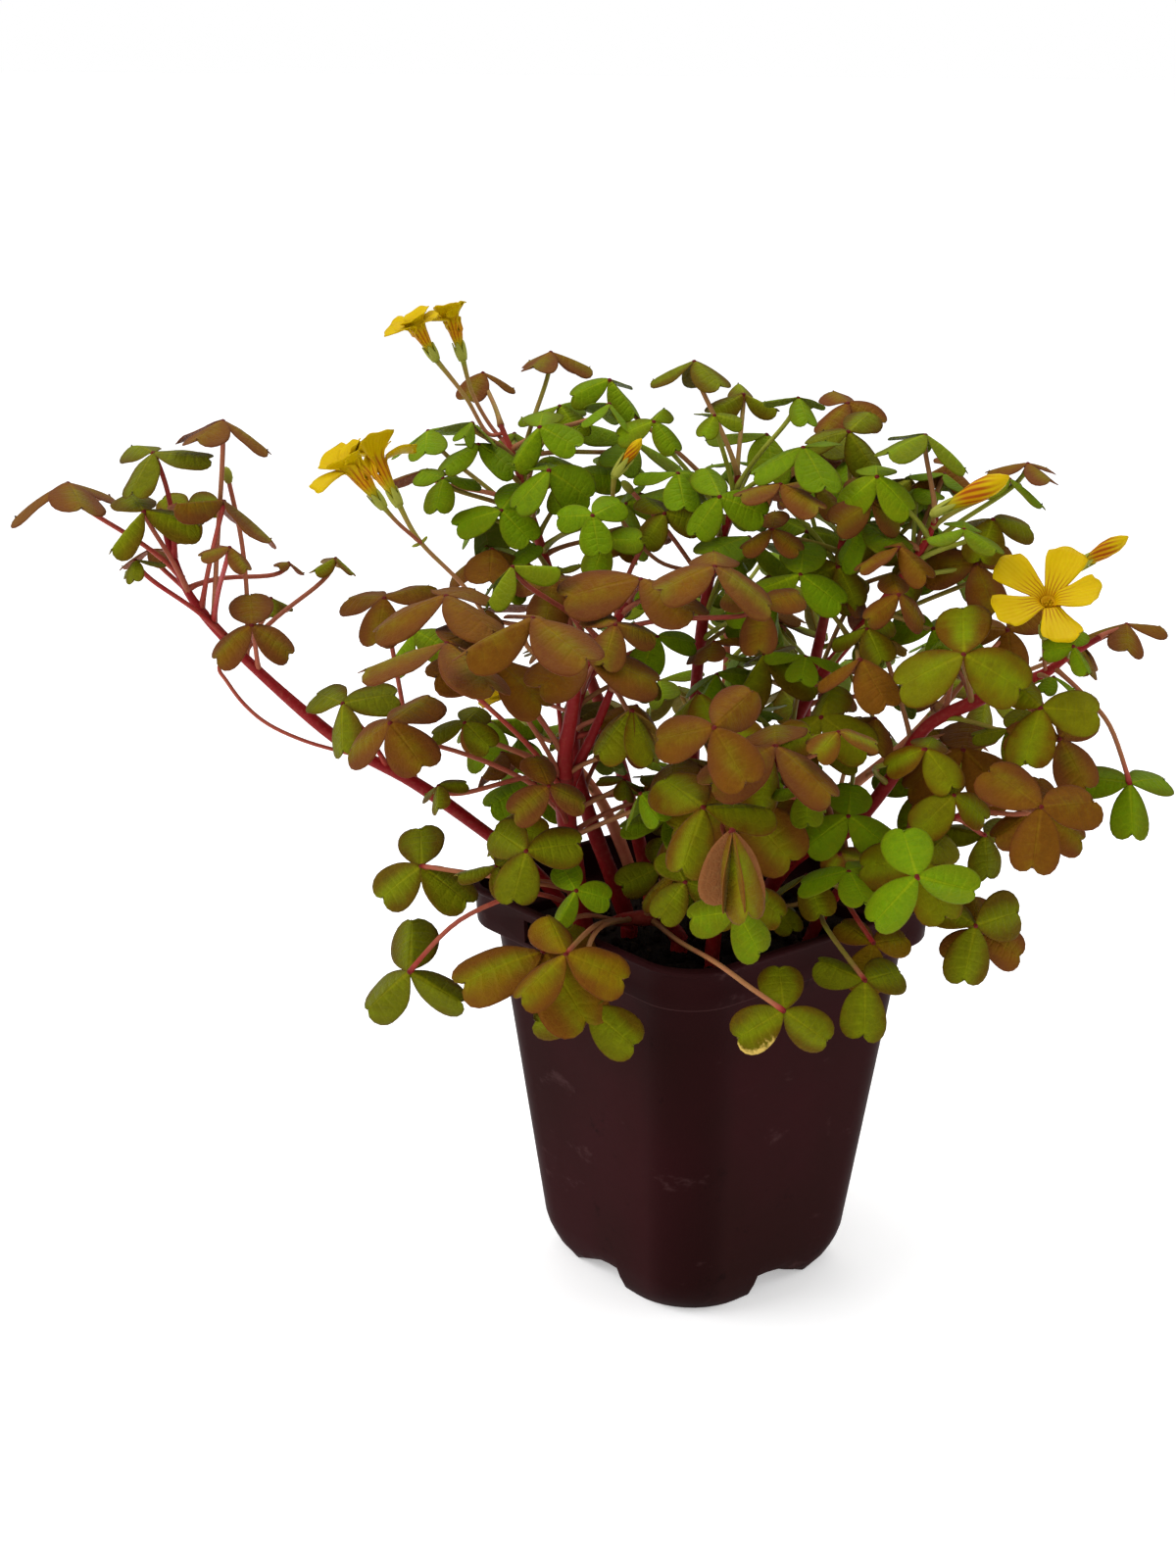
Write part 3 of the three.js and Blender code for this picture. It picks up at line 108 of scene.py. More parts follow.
# Stems: each limb is a row of [across, up, near, radius], from the soil up.
# Leaves: [limb, place along it, across, up, near, reach of a leaflet, lean,
# heading, spin, shade, droop, points its stalk passes].
STEMS = [
  {
    "name": "stem_left_long",
    "limbs": [
      [[-37, 108, 0, 2.0], [-50, 123.5, 0, 2.0], [-68, 138, 2, 2.0], [-85, 150, 4, 1.9],
        [-105, 161, 6, 1.8], [-124, 177, 8, 1.7], [-140, 193, 10, 1.5], [-150, 206, 12, 1.3],
        [-155, 220, 12, 1.0], [-157, 230, 12, 0.8]],
    ],
    "leaves": [
      [0, 7.3, -181, 238, 14, 21, 8, 180, 180, 0, 8],
      [0, 7.75, -158.5, 247, 13, 17, 24, -10, 250, 3, 14],
      [0, 6.3, -138, 254, 6, 18, 2, 180, 5, 0, 12],
      [0, 6.65, -138.5, 231, 16, 19, 14, 80, -15, 0, 10],
      [0, 8.2, -149, 232, 2, 12, 40, 0, 30, 2, 14],
      [0, 7.0, -162, 230, 24, 17, 36, 0, 238, 3, 14],
      [0, 5.4, -132, 197, 20, 16, 42, 0, 345, 0, 14],
      [0, 3, -93, 206, 0, 17, 22, 0, 30, 0, 16],
      [0, 3.4, -106, 174, 20, 17, 42, -20, 22, 3, 14],
    ],
    "shoots": [
      [0, 5.6, [[-133, 205, 6], [-134, 222, 3], [-137, 239, 2]], 0.7, 1.7],
    ],
  },
  {
    "name": "stem_front",
    "limbs": [
      [[-34.5, 104, 13, 3.2], [-37, 120, 15, 3.1], [-40, 140, 18, 2.9], [-40.5, 153, 20, 2.6]],
      [[-40, 147, 19, 2.4], [-40.5, 160, 22, 2.2], [-38.5, 173, 25, 2.0], [-37, 187, 28, 1.7]],
      [[-40, 148, 19, 1.9], [-36, 158, 19, 1.6], [-32, 167, 19, 1.4], [-27, 180, 19, 1.1]],
    ],
    "leaves": [
      [0, 2.5, -75, 195.5, 52, 25, 10, 0, 188, 0, 10],
      [1, 0.9, -75, 207, 42, 25, 6, 0, 196, 0, 10],
      [1, 2.5, -50, 201, 62, 25, 12, 10, 330, 0, 10],
      [0, 2.7, -60, 188, 38, 21, 14, 0, 200, 0, 12],
      [0, 2.3, -92, 168.5, 40, 20, 30, -10, 185, 0, 16],
      [0, 2.9, -70, 169, 32, 12, 30, 0, 190, 3, 14],
      [0, 1.9, -52, 151, 4, 17, 30, 0, 205, 5, 14],
      [0, 1.45, -52, 127, 40, 17, 54, 0, 260, 3, 14],
      [0, 0.7, -61, 124.5, 26, 13, 8, 0, 175, 3, 10],
      [0, 0.95, -83.5, 124, 32, 19, 48, 0, 214, 3, 14, [[-60, 121, 30]]],
      [0, 0.45, -87.5, 90, 36, 22, 50, 0, 212, 3, 14, [[-51, 116, 27], [-72, 107, 33]]],
      [0, 1.2, -37, 117.5, 46, 12, 44, 0, 240, 5, 14],
      [1, 3, -37, 190, 34, 22, 20, 30, 355, 0, 12],
      [2, 3, -21, 174, 44, 17, 8, 0, 330, 2, 48],
      [0, 1.7, 3, 144.5, 54, 21, 46, 0, 256, 2, 14, [[-22, 142, 34], [-9, 146, 45]]],
    ],
    "shoots": [],
  },
  {
    "name": "stem_second",
    "limbs": [
      [[-21, 107, 4, 2.6], [-26, 121, 5, 2.5], [-33, 140, 5, 2.2], [-38, 160, 3, 2.0],
        [-37, 176, 4, 1.7], [-30, 193, 8, 1.4], [-22, 206, 12, 1.0]],
    ],
    "leaves": [
      [0, 6, -19, 213, 34, 24, 10, 0, 195, 0, 10],
      [0, 5.75, 2, 217, 36, 20, 22, 0, 335, 0, 12],
      [0, 5.25, 15, 206, 30, 14, 36, 0, 270, 0, 14],
      [0, 4.4, -14, 196, 2, 14, 40, 0, 250, 4, 14],
      [0, 5.5, -10, 232, 0, 13, 40, 0, 230, 3, 14],
      [0, 4.75, -44, 212, 16, 16, 25, 0, 150, 0, 14],
    ],
    "shoots": [],
  },
  {
    "name": "stem_crown",
    "limbs": [
      [[-6, 103, 15, 2.5], [-11, 108.5, 15.5, 2.4], [-19, 109, 18, 2.2], [-25, 108, 22, 1.7]],
    ],
    "leaves": [
      [0, 1.4, 26, 80.5, 72, 17, 54, 0, 92, 3, 14, [[-6, 102, 42], [5, 95.6, 70], [16, 87.5, 75]]],
      [0, 2.3, -33, 82, 60, 18, 54, 0, 200, 3, 14, [[-30, 105.5, 50], [-34, 95, 58]]],
      [0, 3, -44.5, 97.5, 63, 26, 26, 0, 187, 1, 12, [[-36.5, 109, 45]]],
      [0, 2.7, -40, 97, 70, 19, 34, 0, 345, 1, 12, [[-31, 106.5, 50]]],
      [0, 1.0, -2, 121, 46, 13, 48, 0, 235, 3, 14],
      [0, 0.6, -12, 123, 30, 15, 50, 0, 205, 3, 14],
    ],
    "shoots": [],
  },
  {
    "name": "stem_right_long",
    "limbs": [
      [[15, 107, 4, 2.4], [22, 122, 6, 2.4], [31, 132, 8, 2.2], [43, 138, 10, 2.0],
        [54, 153, 10, 2.0], [64, 170, 11, 1.9], [77, 178, 12, 1.9], [90, 184, 13, 1.7],
        [97, 187, 14, 1.5], [104, 192.5, 15, 1.0], [112, 198, 16, 0.8]],
    ],
    "leaves": [
      [0, 10, 119.5, 202.5, 18, 15, 8, 0, 155, 0, 16],
      [0, 9, 105, 198, 22, 9, 50, 0, 60, 4, 14],
      [0, 6, 74, 192.5, 46, 20, 50, 0, 206, 2, 14],
      [0, 7, 97, 177, 34, 18, 46, 0, 245, 2, 14],
      [0, 7.4, 103, 168, 24, 17, 40, 10, 292, 0, 14],
      [0, 8.4, 124, 155, 28, 16, 36, 0, 270, 4, 14, [[108, 182, 20], [117, 172, 24]]],
      [0, 7.8, 100, 186.5, 24, 8, 10, 0, 0, 4, 14],
      [0, 4, 64.5, 164, 36, 14, 30, 0, 190, 2, 14],
      [0, 4.5, 73, 164, 30, 21, 36, 0, 318, 0, 14],
      [0, 5.4, 88, 170.5, 22, 12, 40, 0, 180, 3, 14],
      [0, 5.2, 86, 200, 2, 16, 50, 0, 280, 0, 14],
      [0, 3, 43, 143, 36, 16, 32, 0, 205, 5, 14],
      [0, 2.6, 41, 131, 28, 9, 60, 0, 240, 1, 30],
    ],
    "shoots": [],
  },
  {
    "name": "stem_right_mid",
    "limbs": [
      [[6, 111, -8, 2.2], [14, 140, -6, 2.0], [22, 160, -4, 1.9], [32, 183, -2, 1.8],
        [48, 204, 0, 1.5], [57, 217, 2, 1.2], [62, 226, 3, 1.0], [64, 232, 4, 0.8]],
    ],
    "leaves": [
      [0, 7, 60, 253, 0, 17, 12, 60, 340, 4, 14],
      [0, 6.1, 47, 246, -6, 15, 40, 0, 325, 5, 14],
      [0, 5.8, 66, 247, -12, 12, 30, 0, 320, 0, 14],
      [0, 6.5, 84, 243.5, -8, 13, 6, 60, 335, 4, 12],
      [0, 5.5, 80, 232, -2, 15, 25, 0, 250, 3, 14],
      [0, 5.2, 72, 229, 8, 14, 10, 0, 200, 4, 12],
      [0, 4.9, 54, 226, 12, 14, 12, 0, 185, 0, 12],
      [0, 3.6, 24, 215, 18, 17, 48, 0, 320, 5, 14],
      [0, 2.3, 34, 173, 34, 18, 34, 0, 326, 2, 14],
      [0, 4.65, 76, 219, 4, 17, 50, 0, 290, 0, 14],
      [0, 4.0, 65, 200, -4, 15, 45, 0, 45, 5, 14],
      [0, 4.35, 58, 221, -8, 15, 50, 0, 270, 3, 14],
    ],
    "shoots": [],
  },
  {
    "name": "stem_back_centre",
    "limbs": [
      [[-3, 116, -20, 2.2], [-3, 160, -20, 2.0], [-2, 190, -20, 1.8], [1, 215, -20, 1.5],
        [6, 232, -20, 1.2], [8, 243, -20, 0.9]],
    ],
    "leaves": [
      [0, 5, -5, 275, -30, 16, 8, 0, 190, 3, 12],
      [0, 4.75, 9, 266, -38, 13, 20, 0, 340, 3, 14],
      [0, 4.1, -26, 269.5, -26, 14, 24, 0, 320, 4, 14],
      [0, 3.8, -16, 258, -8, 12, 30, 0, 195, 4, 14],
      [0, 4.5, 1, 260, -18, 9, 24, 0, 240, 4, 14],
      [0, 3.6, -9, 246, -2, 15, 36, 0, 280, 5, 14],
      [0, 3.4, 3, 237, 6, 15, 48, 0, 225, 4, 14],
      [0, 4.3, 26, 249, -8, 17, 14, 0, 185, 4, 12],
    ],
    "shoots": [
      [0, 2.8, [[-11, 226, -16], [-22, 238, -18]], 0.7, 1.6],
    ],
  },
  {
    "name": "stem_back_right",
    "limbs": [
      [[21, 117, -22, 2.1], [27, 160, -22, 1.9], [33, 198, -22, 1.6], [38, 224, -22, 1.2],
        [41, 238, -22, 0.9]],
    ],
    "leaves": [
      [0, 4, 38, 264, -36, 14, 20, 0, 345, 0, 14],
      [0, 3.7, 36, 256, -16, 15, 40, 0, 300, 3, 14],
      [0, 3.1, 20, 241, 14, 15, 8, 0, 200, 0, 12],
      [0, 3.4, 30, 241, -6, 13, 34, 0, 300, 0, 14],
      [0, 3.55, 36, 241, -14, 15, 44, 0, 318, 5, 14],
      [0, 2.9, 18, 228, 6, 12, 30, 0, 205, 0, 14],
      [0, 2.75, 28, 230, -10, 15, 45, 0, 250, 4, 14],
      [0, 2.6, 37, 220, -6, 14, 45, 0, 300, 3, 14],
    ],
    "shoots": [],
  },
  {
    "name": "stem_back_left",
    "limbs": [
      [[-15, 118, -26, 2.2], [-26, 163, -26, 2.0], [-40, 199, -26, 1.7], [-50, 229, -26, 1.3],
        [-55, 246, -26, 1.0], [-59, 256, -28, 0.8]],
    ],
    "leaves": [
      [0, 5, -64, 271, -36, 13, 5, 0, 250, 0, 14],
      [0, 3.8, -45, 277, -42, 14, 6, 200, 15, 0, 14],
      [0, 4.1, -67, 257, -20, 12, 14, 90, 150, 4, 12],
      [0, 3.6, -45, 262, -30, 14, 28, 0, 310, 4, 14],
      [0, 3.4, -48, 256, -8, 15, 40, 0, 218, 4, 14],
      [0, 3.2, -80, 243.5, -32, 13, 14, 180, 175, 0, 12],
      [0, 3.0, -75.5, 241, -14, 12, 26, 0, 260, 4, 14],
      [0, 2.5, -59, 232, -6, 15, 45, 0, 312, 5, 14],
      [0, 2.85, -38, 243, -14, 14, 42, 0, 250, 4, 14],
      [0, 2.7, -33, 231, -4, 13, 44, 0, 285, 5, 14],
    ],
    "shoots": [],
  },
  {
    "name": "stem_low_right",
    "limbs": [
      [[32, 101, 20, 2.0], [38, 115, 21, 1.8], [48, 125, 24, 1.5], [57, 128, 27, 1.2], [63, 129.5, 30, 1.0]],
      [[46, 123, 23, 1.3], [60, 134, 22, 1.1], [72, 142, 24, 0.9], [80, 146, 26, 0.8]],
    ],
    "leaves": [
      [0, 4, 65, 127, 46, 19, 40, 0, 297, 2, 14],
      [0, 3.7, 66, 129, 34, 14, 8, 0, 338, 5, 14],
      [0, 2.4, 61, 133, 32, 14, 6, 0, 20, 5, 14],
      [0, 3.05, 64, 122, 64, 18, 56, 0, 224, 5, 14],
      [0, 3.4, 84, 107.5, 44, 16, 50, 0, 335, 0, 14],
      [0, 2.75, 82, 107, 36, 18, 50, 0, 262, 3, 14],
      [0, 1.0, 50, 91, 50, 17, 46, 0, 150, 3, 14, [[37, 109, 42]]],
      [0, 1.4, 52, 103, 48, 14, 50, 0, 262, 1, 14, [[45, 113.5, 38]]],
      [1, 1.9, 76, 150, 40, 14, 50, 0, 220, 2, 14],
      [1, 1.0, 63, 151, 20, 15, 54, 0, 265, 4, 14],
      [1, 3, 96.5, 147, 50, 19, 50, 0, 257, 0, 14],
      [1, 2.75, 98, 149, 36, 16, 40, 0, 324, 0, 14],
      [1, 2.25, 83, 138, 26, 14, 54, 0, 275, 3, 14],
    ],
    "shoots": [],
  },
  {
    "name": "stem_front_centre",
    "limbs": [
      [[4, 98.5, 27, 2.2], [6, 120, 29, 2.0], [8, 140, 31, 1.7], [10, 153, 32, 1.3]],
    ],
    "leaves": [
      [0, 1.9, -4, 143, 42, 21, 50, 0, 242, 1, 14],
      [0, 2.1, 9, 146, 46, 24, 45, 0, 315, 1, 14],
      [0, 3, 5.5, 169, 58, 19, 54, 0, 297, 0, 14],
      [0, 2.75, 21, 164, 60, 23, 28, 0, 328, 0, 12],
      [0, 2.5, 19, 162, 46, 18, 55, 0, 268, 2, 14],
      [0, 0.9, 11, 112, 60, 15, 54, 0, 306, 4, 14],
      [0, 1.2, 13, 119, 48, 15, 40, 0, 335, 2, 14],
      [0, 1.6, -13, 141, 34, 14, 10, 0, 186, 5, 12],
      [0, 2, 9, 138, 76, 25, 0, 0, 278, 1, 72, [[7, 140.5, 42], [6.2, 138.5, 53], [8, 134, 70]]],
    ],
    "shoots": [],
  },
  {
    "name": "stem_back_low_left",
    "limbs": [
      [[-20, 122, -35, 2.0], [-30, 146, -44, 1.8], [-46, 167, -56, 1.4], [-56, 184, -64, 1.0]],
    ],
    "leaves": [], "fill": [7, 150, 26], "shoots": [],
  },
  {
    "name": "stem_back_low_centre",
    "limbs": [
      [[2, 126, -46, 2.0], [4, 154, -58, 1.8], [6, 180, -70, 1.4], [6, 202, -76, 1.0]],
    ],
    "leaves": [], "fill": [8, 90, 25], "shoots": [],
  },
  {
    "name": "stem_back_low_right",
    "limbs": [
      [[22, 122, -32, 2.0], [38, 146, -44, 1.8], [57, 164, -56, 1.4], [70, 180, -64, 1.0]],
    ],
    "leaves": [], "fill": [7, 40, 26], "shoots": [],
  },
]

BLOOMS = [
  {"name": "bloom_top_outer", "stem": 8, "limb": 0, "at": 4.8, "stalk": [[-63, 254, -28], [-69, 264, -28]],
    "base": [-77, 274, -27], "mouth": [-84, 286, -22], "kind": "trumpet", "size": 17},
  {"name": "bloom_top_inner", "stem": 8, "limb": 0, "at": 4.4, "stalk": [[-62, 256, -30], [-67, 265, -31]],
    "base": [-69.5, 274, -32], "mouth": [-73.5, 289, -32], "kind": "trumpet", "size": 16},
  {"name": "bloom_left_outer", "stem": 1, "limb": 1, "at": 1.6,
    "stalk": [[-52, 178, 14], [-66, 203, 18], [-83, 220, 24]],
    "base": [-92.5, 232, 26], "mouth": [-103, 246, 30], "kind": "trumpet", "size": 20},
  {"name": "bloom_left_inner", "stem": 1, "limb": 1, "at": 1.95,
    "stalk": [[-52, 180, 8], [-67, 206, 10], [-82, 222, 11]],
    "base": [-88, 232.5, 9], "mouth": [-96, 248, 5], "kind": "trumpet", "size": 20},
  {"name": "bloom_centre_bud", "stem": 6, "limb": 0, "at": 3.0, "stalk": [[-14, 218, -14], [-26, 232, -8]],
    "base": [-27, 242, -4], "mouth": [-20, 252, -2], "kind": "bud", "size": 12},
  {"name": "bloom_right_bud", "stem": 5, "limb": 0, "at": 6.8, "stalk": [[63.5, 231, 9]],
    "base": [63, 233, 14], "mouth": [80, 242, 20], "kind": "bud", "size": 22},
  {"name": "bloom_right_open", "stem": 4, "limb": 0, "at": 8.1, "stalk": [[97, 191, 17]],
    "base": [96.5, 198, 21], "mouth": [97, 210, 32], "kind": "open", "size": 17},
  {"name": "bloom_outer_bud", "stem": 4, "limb": 0, "at": 8.8, "stalk": [[101, 200, 8], [100, 210, 8]],
    "base": [102, 217, 10], "mouth": [115, 225.5, 12], "kind": "bud", "size": 17},
  {"name": "bloom_inner_left", "stem": 2, "limb": 0, "at": 3.2, "stalk": [[-46, 164, -4]],
    "base": [-51, 169, -6], "mouth": [-58, 178, -4], "kind": "trumpet", "size": 14},
]

# The leaves crowd together, so each one is bent nearer or farther by the step, and
# its stalk bowed to the side by the share of its length, that keep it clearest of
# its neighbours, in the order of the table.
# REACH is how near each other their check points may lie.
STEPS = [0, 3, -3, 6, -6, 9, -9, 12, -12, 15, -15]
BOWS = [0, 0.16, -0.16, 0.32, -0.32]
SHIFTS = [(0, 0), (2.5, 0), (-2.5, 0), (0, 2.5), (0, -2.5)]
ROUNDS = 3
REACH = 2.6
FARTHEST = REACH + 0.7 + 6.4
BLADE_POINTS = np.array([
    (0.25, 0), (0.5, 0), (0.75, 0), (0.98, 0),
    (0.45, 0.28), (0.45, -0.28), (0.62, 0.14), (0.62, -0.14), (0.72, 0.4), (0.72, -0.4),
    (0.86, 0.2), (0.86, -0.2), (0.98, 0.42), (0.98, -0.42), (1.08, 0.24), (1.08, -0.24),
])


def seen(across, up, near):
    t = (EYE_BACK - near) / EYE_BACK
    return np.array([across * t, -near, EYE_UP + (up - EYE_UP) * t])


def unit(v):
    return v / math.sqrt(v[0] * v[0] + v[1] * v[1] + v[2] * v[2])


def length(v):
    return math.sqrt(v[0] * v[0] + v[1] * v[1] + v[2] * v[2])


def draws(seed):
    """A plain repeatable draw between 0 and 1."""
    state = [seed]

    def draw():
        state[0] = (state[0] * 1664525 + 1013904223) % 4294967296
        return state[0] / 4294967296

    return draw


class Limb:
    """A stem's limb: its points, the radius at each, and how many the table gives."""

    def __init__(self, rows, foot):
        self.points = [seen(*row[:3]) for row in rows]
        self.radii = [row[3] for row in rows]
        self.rows = len(rows)
        if foot:
            x, y = self.points[0][:2]
            self.points[:0] = [np.array([x, y, SOIL_TOP - STEM_DEPTH]), np.array([x, y, SOIL_TOP + 2])]
            self.radii[:0] = [self.radii[0]] * 2

    def along(self, place):
        shift = len(self.points) - self.rows
        k = min(math.floor(place), self.rows - 1)
        a = self.points[k + shift]
        b = self.points[min(k + 1, self.rows - 1) + shift]
        return a * (1 - (place - k)) + b * (place - k)


class Leaf:
    """A leaf's place, size and turn, and the way of its stalk."""

    def __init__(self, stem, root, hub, size, lean, heading, spin, shade, droop, via=(), base=None):
        self.stem, self.root, self.hub, self.start = stem, root, hub, hub
        self.size, self.lean, self.heading, self.spin = size, lean, heading, spin
        self.shade, self.droop, self.via, self.base, self.bow = shade, droop, list(via), base, 0
        self.spread = None
        lean, heading = math.radians(lean), math.radians(heading)
        flat = math.sin(lean)
        self.n = np.array([flat * math.sin(heading), -flat * math.cos(heading), math.cos(lean)])
        self.e1 = unit(np.array([1.0, 0, 0]) - self.n * self.n[0])
        self.e2 = np.cross(self.n, self.e1)
        self.lobes = []
        for turn in (0, 120, 240):
            a = math.radians(spin + turn)
            d = self.e1 * math.cos(a) + self.e2 * math.sin(a)
            c, s = math.cos(math.radians(droop)), math.sin(math.radians(droop))
            out, up = d * c - self.n * s, self.n * c + d * s
            self.lobes.append((out, np.cross(up, out), up))

    def stalk(self, hub, count=None):
        """Points from the limb to the hub, count of them past the root, or the few that are checked."""
        if self.via:
            return smooth([self.root, *self.via, hub], 2 if count is None else 6)
        span = length(hub - self.root)
        aside = unit(np.cross(hub - self.root, [0, 0.001, 1]))
        b = self.root * 0.6 + hub * 0.4 + np.array([0, 0, 0.1 * span]) + aside * (self.bow * span)
        c = hub - self.n * (0.22 * span) + aside * (self.bow * span * 0.6)
        if count is None:
            count = 2 if span < 50 else 3
        t = np.arange(count + 1)[:, None] / count
        u = 1 - t
        return list(self.root * u**3 + b * (3 * u * u * t) + c * (3 * u * t * t) + hub * t**3)

    def samples(self, hub):
        """Check points over the blade and along the stalk: rows of [x, y, z, radius]."""
        if self.spread is None:
            u, v = BLADE_POINTS[:, :1] * self.size, BLADE_POINTS[:, 1:] * self.size
            w = -math.tan(math.radians(FOLD)) * abs(v) - 0.08 * u * u / self.size
            self.spread = np.concatenate([out * u + side * v + up * w for out, side, up in self.lobes])
        blade = hub + self.spread
        way, line = self.stalk(hub), []
        for a, b in zip(way, way[1:]):
            count = max(1, math.ceil(length(b - a) / 3))
            for k in range(1, count + 1):
                p = a * (1 - k / count) + b * (k / count)
                if length(p - self.root) > 4 and length(p - hub) > 2:
                    line.append(p)
        line = np.array(line).reshape(-1, 3)
        return (
            np.hstack([blade, np.full((len(blade), 1), 0.35)]),
            np.hstack([line, np.full((len(line), 1), 0.7)]),
        )


def smooth(way, steps):
    """A smooth way through the points, each stretch in the given number of steps."""
    points = [way[0]]
    for i in range(len(way) - 1):
        a, b = way[i], way[i + 1]
        before = way[i - 1] if i else a
        after = way[i + 2] if i + 2 < len(way) else b
        for k in range(1, steps + 1):
            t = k / steps
            ma, mb = (b - before) * 0.5, (after - a) * 0.5
            t2, t3 = t * t, t * t * t
            points.append(
                a * (2 * t3 - 3 * t2 + 1) + ma * (t3 - 2 * t2 + t) + b * (3 * t2 - 2 * t3) + mb * (t3 - t2)
            )
    return points


def in_pot(points):
    """Which points are in the space of the pot and its soil."""
    t = math.radians(POT_TURN)
    a = abs(points[:, 0] * math.cos(t) + points[:, 1] * math.sin(t))
    b = abs(points[:, 1] * math.cos(t) - points[:, 0] * math.sin(t))
    m, z = np.maximum(a, b), points[:, 2]
    return ~((z > POT_HEIGHT + 1.6) | (m > LIP_HALF + 1.6)) & ~((m < LIP_HALF - 4.5) & (z > SOIL_TOP + 3))


def close_pairs(mine, others, clear=REACH):
    """How many of my check points lie close to one of the others."""
    if not len(mine):
        return 0
    low, high = mine[:, :3].min(0) - FARTHEST, mine[:, :3].max(0) + FARTHEST
    x, y, z, r = others
    near = (x > low[0]) & (x < high[0])
    near &= (y > low[1]) & (y < high[1])
    near &= (z > low[2]) & (z < high[2])
    near = np.flatnonzero(near)
    if not len(near):
        return 0
    x, y, z = mine[:, 0, None] - x[near], mine[:, 1, None] - y[near], mine[:, 2, None] - z[near]
    reach = clear + mine[:, 3, None] + r[near]
    return int(np.count_nonzero(x * x + y * y + z * z < reach * reach))


class Crowd:
    """All check points near one leaf, so that its places can be weighed against each other."""

    def __init__(self, leaf, leaves, fixed):
        span = length(leaf.start - leaf.root)
        middle = (leaf.start + leaf.root) / 2
        past = [length(v - middle) + 5 for v in leaf.via]
        bound = max([0.9 * span, 1.2 * leaf.size + 0.5 * span] + past) + 30

        def near(rows):
            x, y, z = rows[:, 0] - middle[0], rows[:, 1] - middle[1], rows[:, 2] - middle[2]
            return rows[x * x + y * y + z * z < bound * bound]

        to_blade, to_stalk = [], []
        for other in leaves:
            if other is leaf:
                continue
            blade, stalk = near(other.points[0]), near(other.points[1])
            to_blade += [blade, stalk]
            to_stalk += [blade] if other.stem == leaf.stem else [blade, stalk]
        for stem, rows in fixed:
            rows = near(rows)
            to_blade.append(rows)
            if stem != leaf.stem:
                to_stalk.append(rows)
        self.leaf = leaf
        self.to_blade = np.ascontiguousarray(np.concatenate(to_blade).T)
        self.to_stalk = np.ascontiguousarray(np.concatenate(to_stalk).T)

    def cost(self, hub, clear=REACH):
        """Crossings of the leaf, with its hub there, with all the others, the stems and the blooms."""
        blade, stalk = self.leaf.samples(hub)
        pot = 3 * (int(in_pot(blade).sum()) + int(in_pot(stalk).sum()))
        return pot + close_pairs(blade, self.to_blade, clear) + close_pairs(stalk, self.to_stalk, clear)


def fill_leaves(row, limb, index):
    """Leaves of the low stems at the back, by turns round the stem."""
    count, heading, reach = row["fill"]
    draw = draws(4100 + index)
    leaves = []
    for i in range(count):
        root = limb.along(0.7 + (2.3 * i) / (count - 1))
        turn = heading + ((i * 137.5) % 220) - 110
        out = reach * (0.75 + 0.5 * draw())
        rise = 10 + 16 * draw() - (5 if i < 3 else 0)
        way = math.radians(turn)
        hub = root + np.array([math.cos(way) * out, math.sin(way) * out, rise])
        size, lean, spin = RIB * (14 + 6 * draw()), 8 + 34 * draw(), 360 * draw()
        shade = 4 if draw() < 0.6 else 3
        leaves.append(Leaf(index, root, hub, size, lean, 90 + turn, spin, shade, DROOP))
    return leaves


def settle(leaves, fixed):
    for leaf in leaves:
        leaf.points = leaf.samples(leaf.hub)
    for _ in range(ROUNDS):
        for leaf in leaves:
            crowd = Crowd(leaf, leaves, fixed)
            best = None
            for right, up in SHIFTS:
                for step in STEPS:
                    if best and best[2] == 0:
                        break
                    if leaf.base:
                        hub = seen(leaf.base[0] + right, leaf.base[1] + up, leaf.base[2] + step)
                    else:
                        hub = leaf.start + np.array([right, -step, up])
                    crossed = crowd.cost(hub)
                    total = crossed + 0.1 * abs(step) + (1.5 if right or up else 0)
                    if not best or total < best[0] - 1e-9:
                        best = (total, hub, crossed)
            leaf.hub, best = best[1], None
            for bow in BOWS:
                leaf.bow = bow
                total = crowd.cost(leaf.hub) + 3 * abs(bow)
                if not best or total < best[0] - 1e-9:
                    best = (total, bow)
            leaf.bow = best[1]
            leaf.points = leaf.samples(leaf.hub)


# Young leaves between the large ones: stem, first and last place along its limb, how many
# are tried, and their reach.
YOUNG = [
    (8, 2.0, 4.6, 80, 12), (6, 1.8, 4.6, 90, 13), (7, 1.4, 3.6, 90, 13), (5, 2.0, 6.4, 120, 12),
    (4, 2.5, 8.0, 70, 10), (2, 2.2, 5.6, 70, 11), (9, 1.0, 3.2, 50, 10), (1, 1.5, 5.0, 60, 10),
    (3, 1.0, 2.6, 40, 10), (10, 1.0, 2.8, 50, 11), (0, 5.5, 8.0, 8, 7),
]


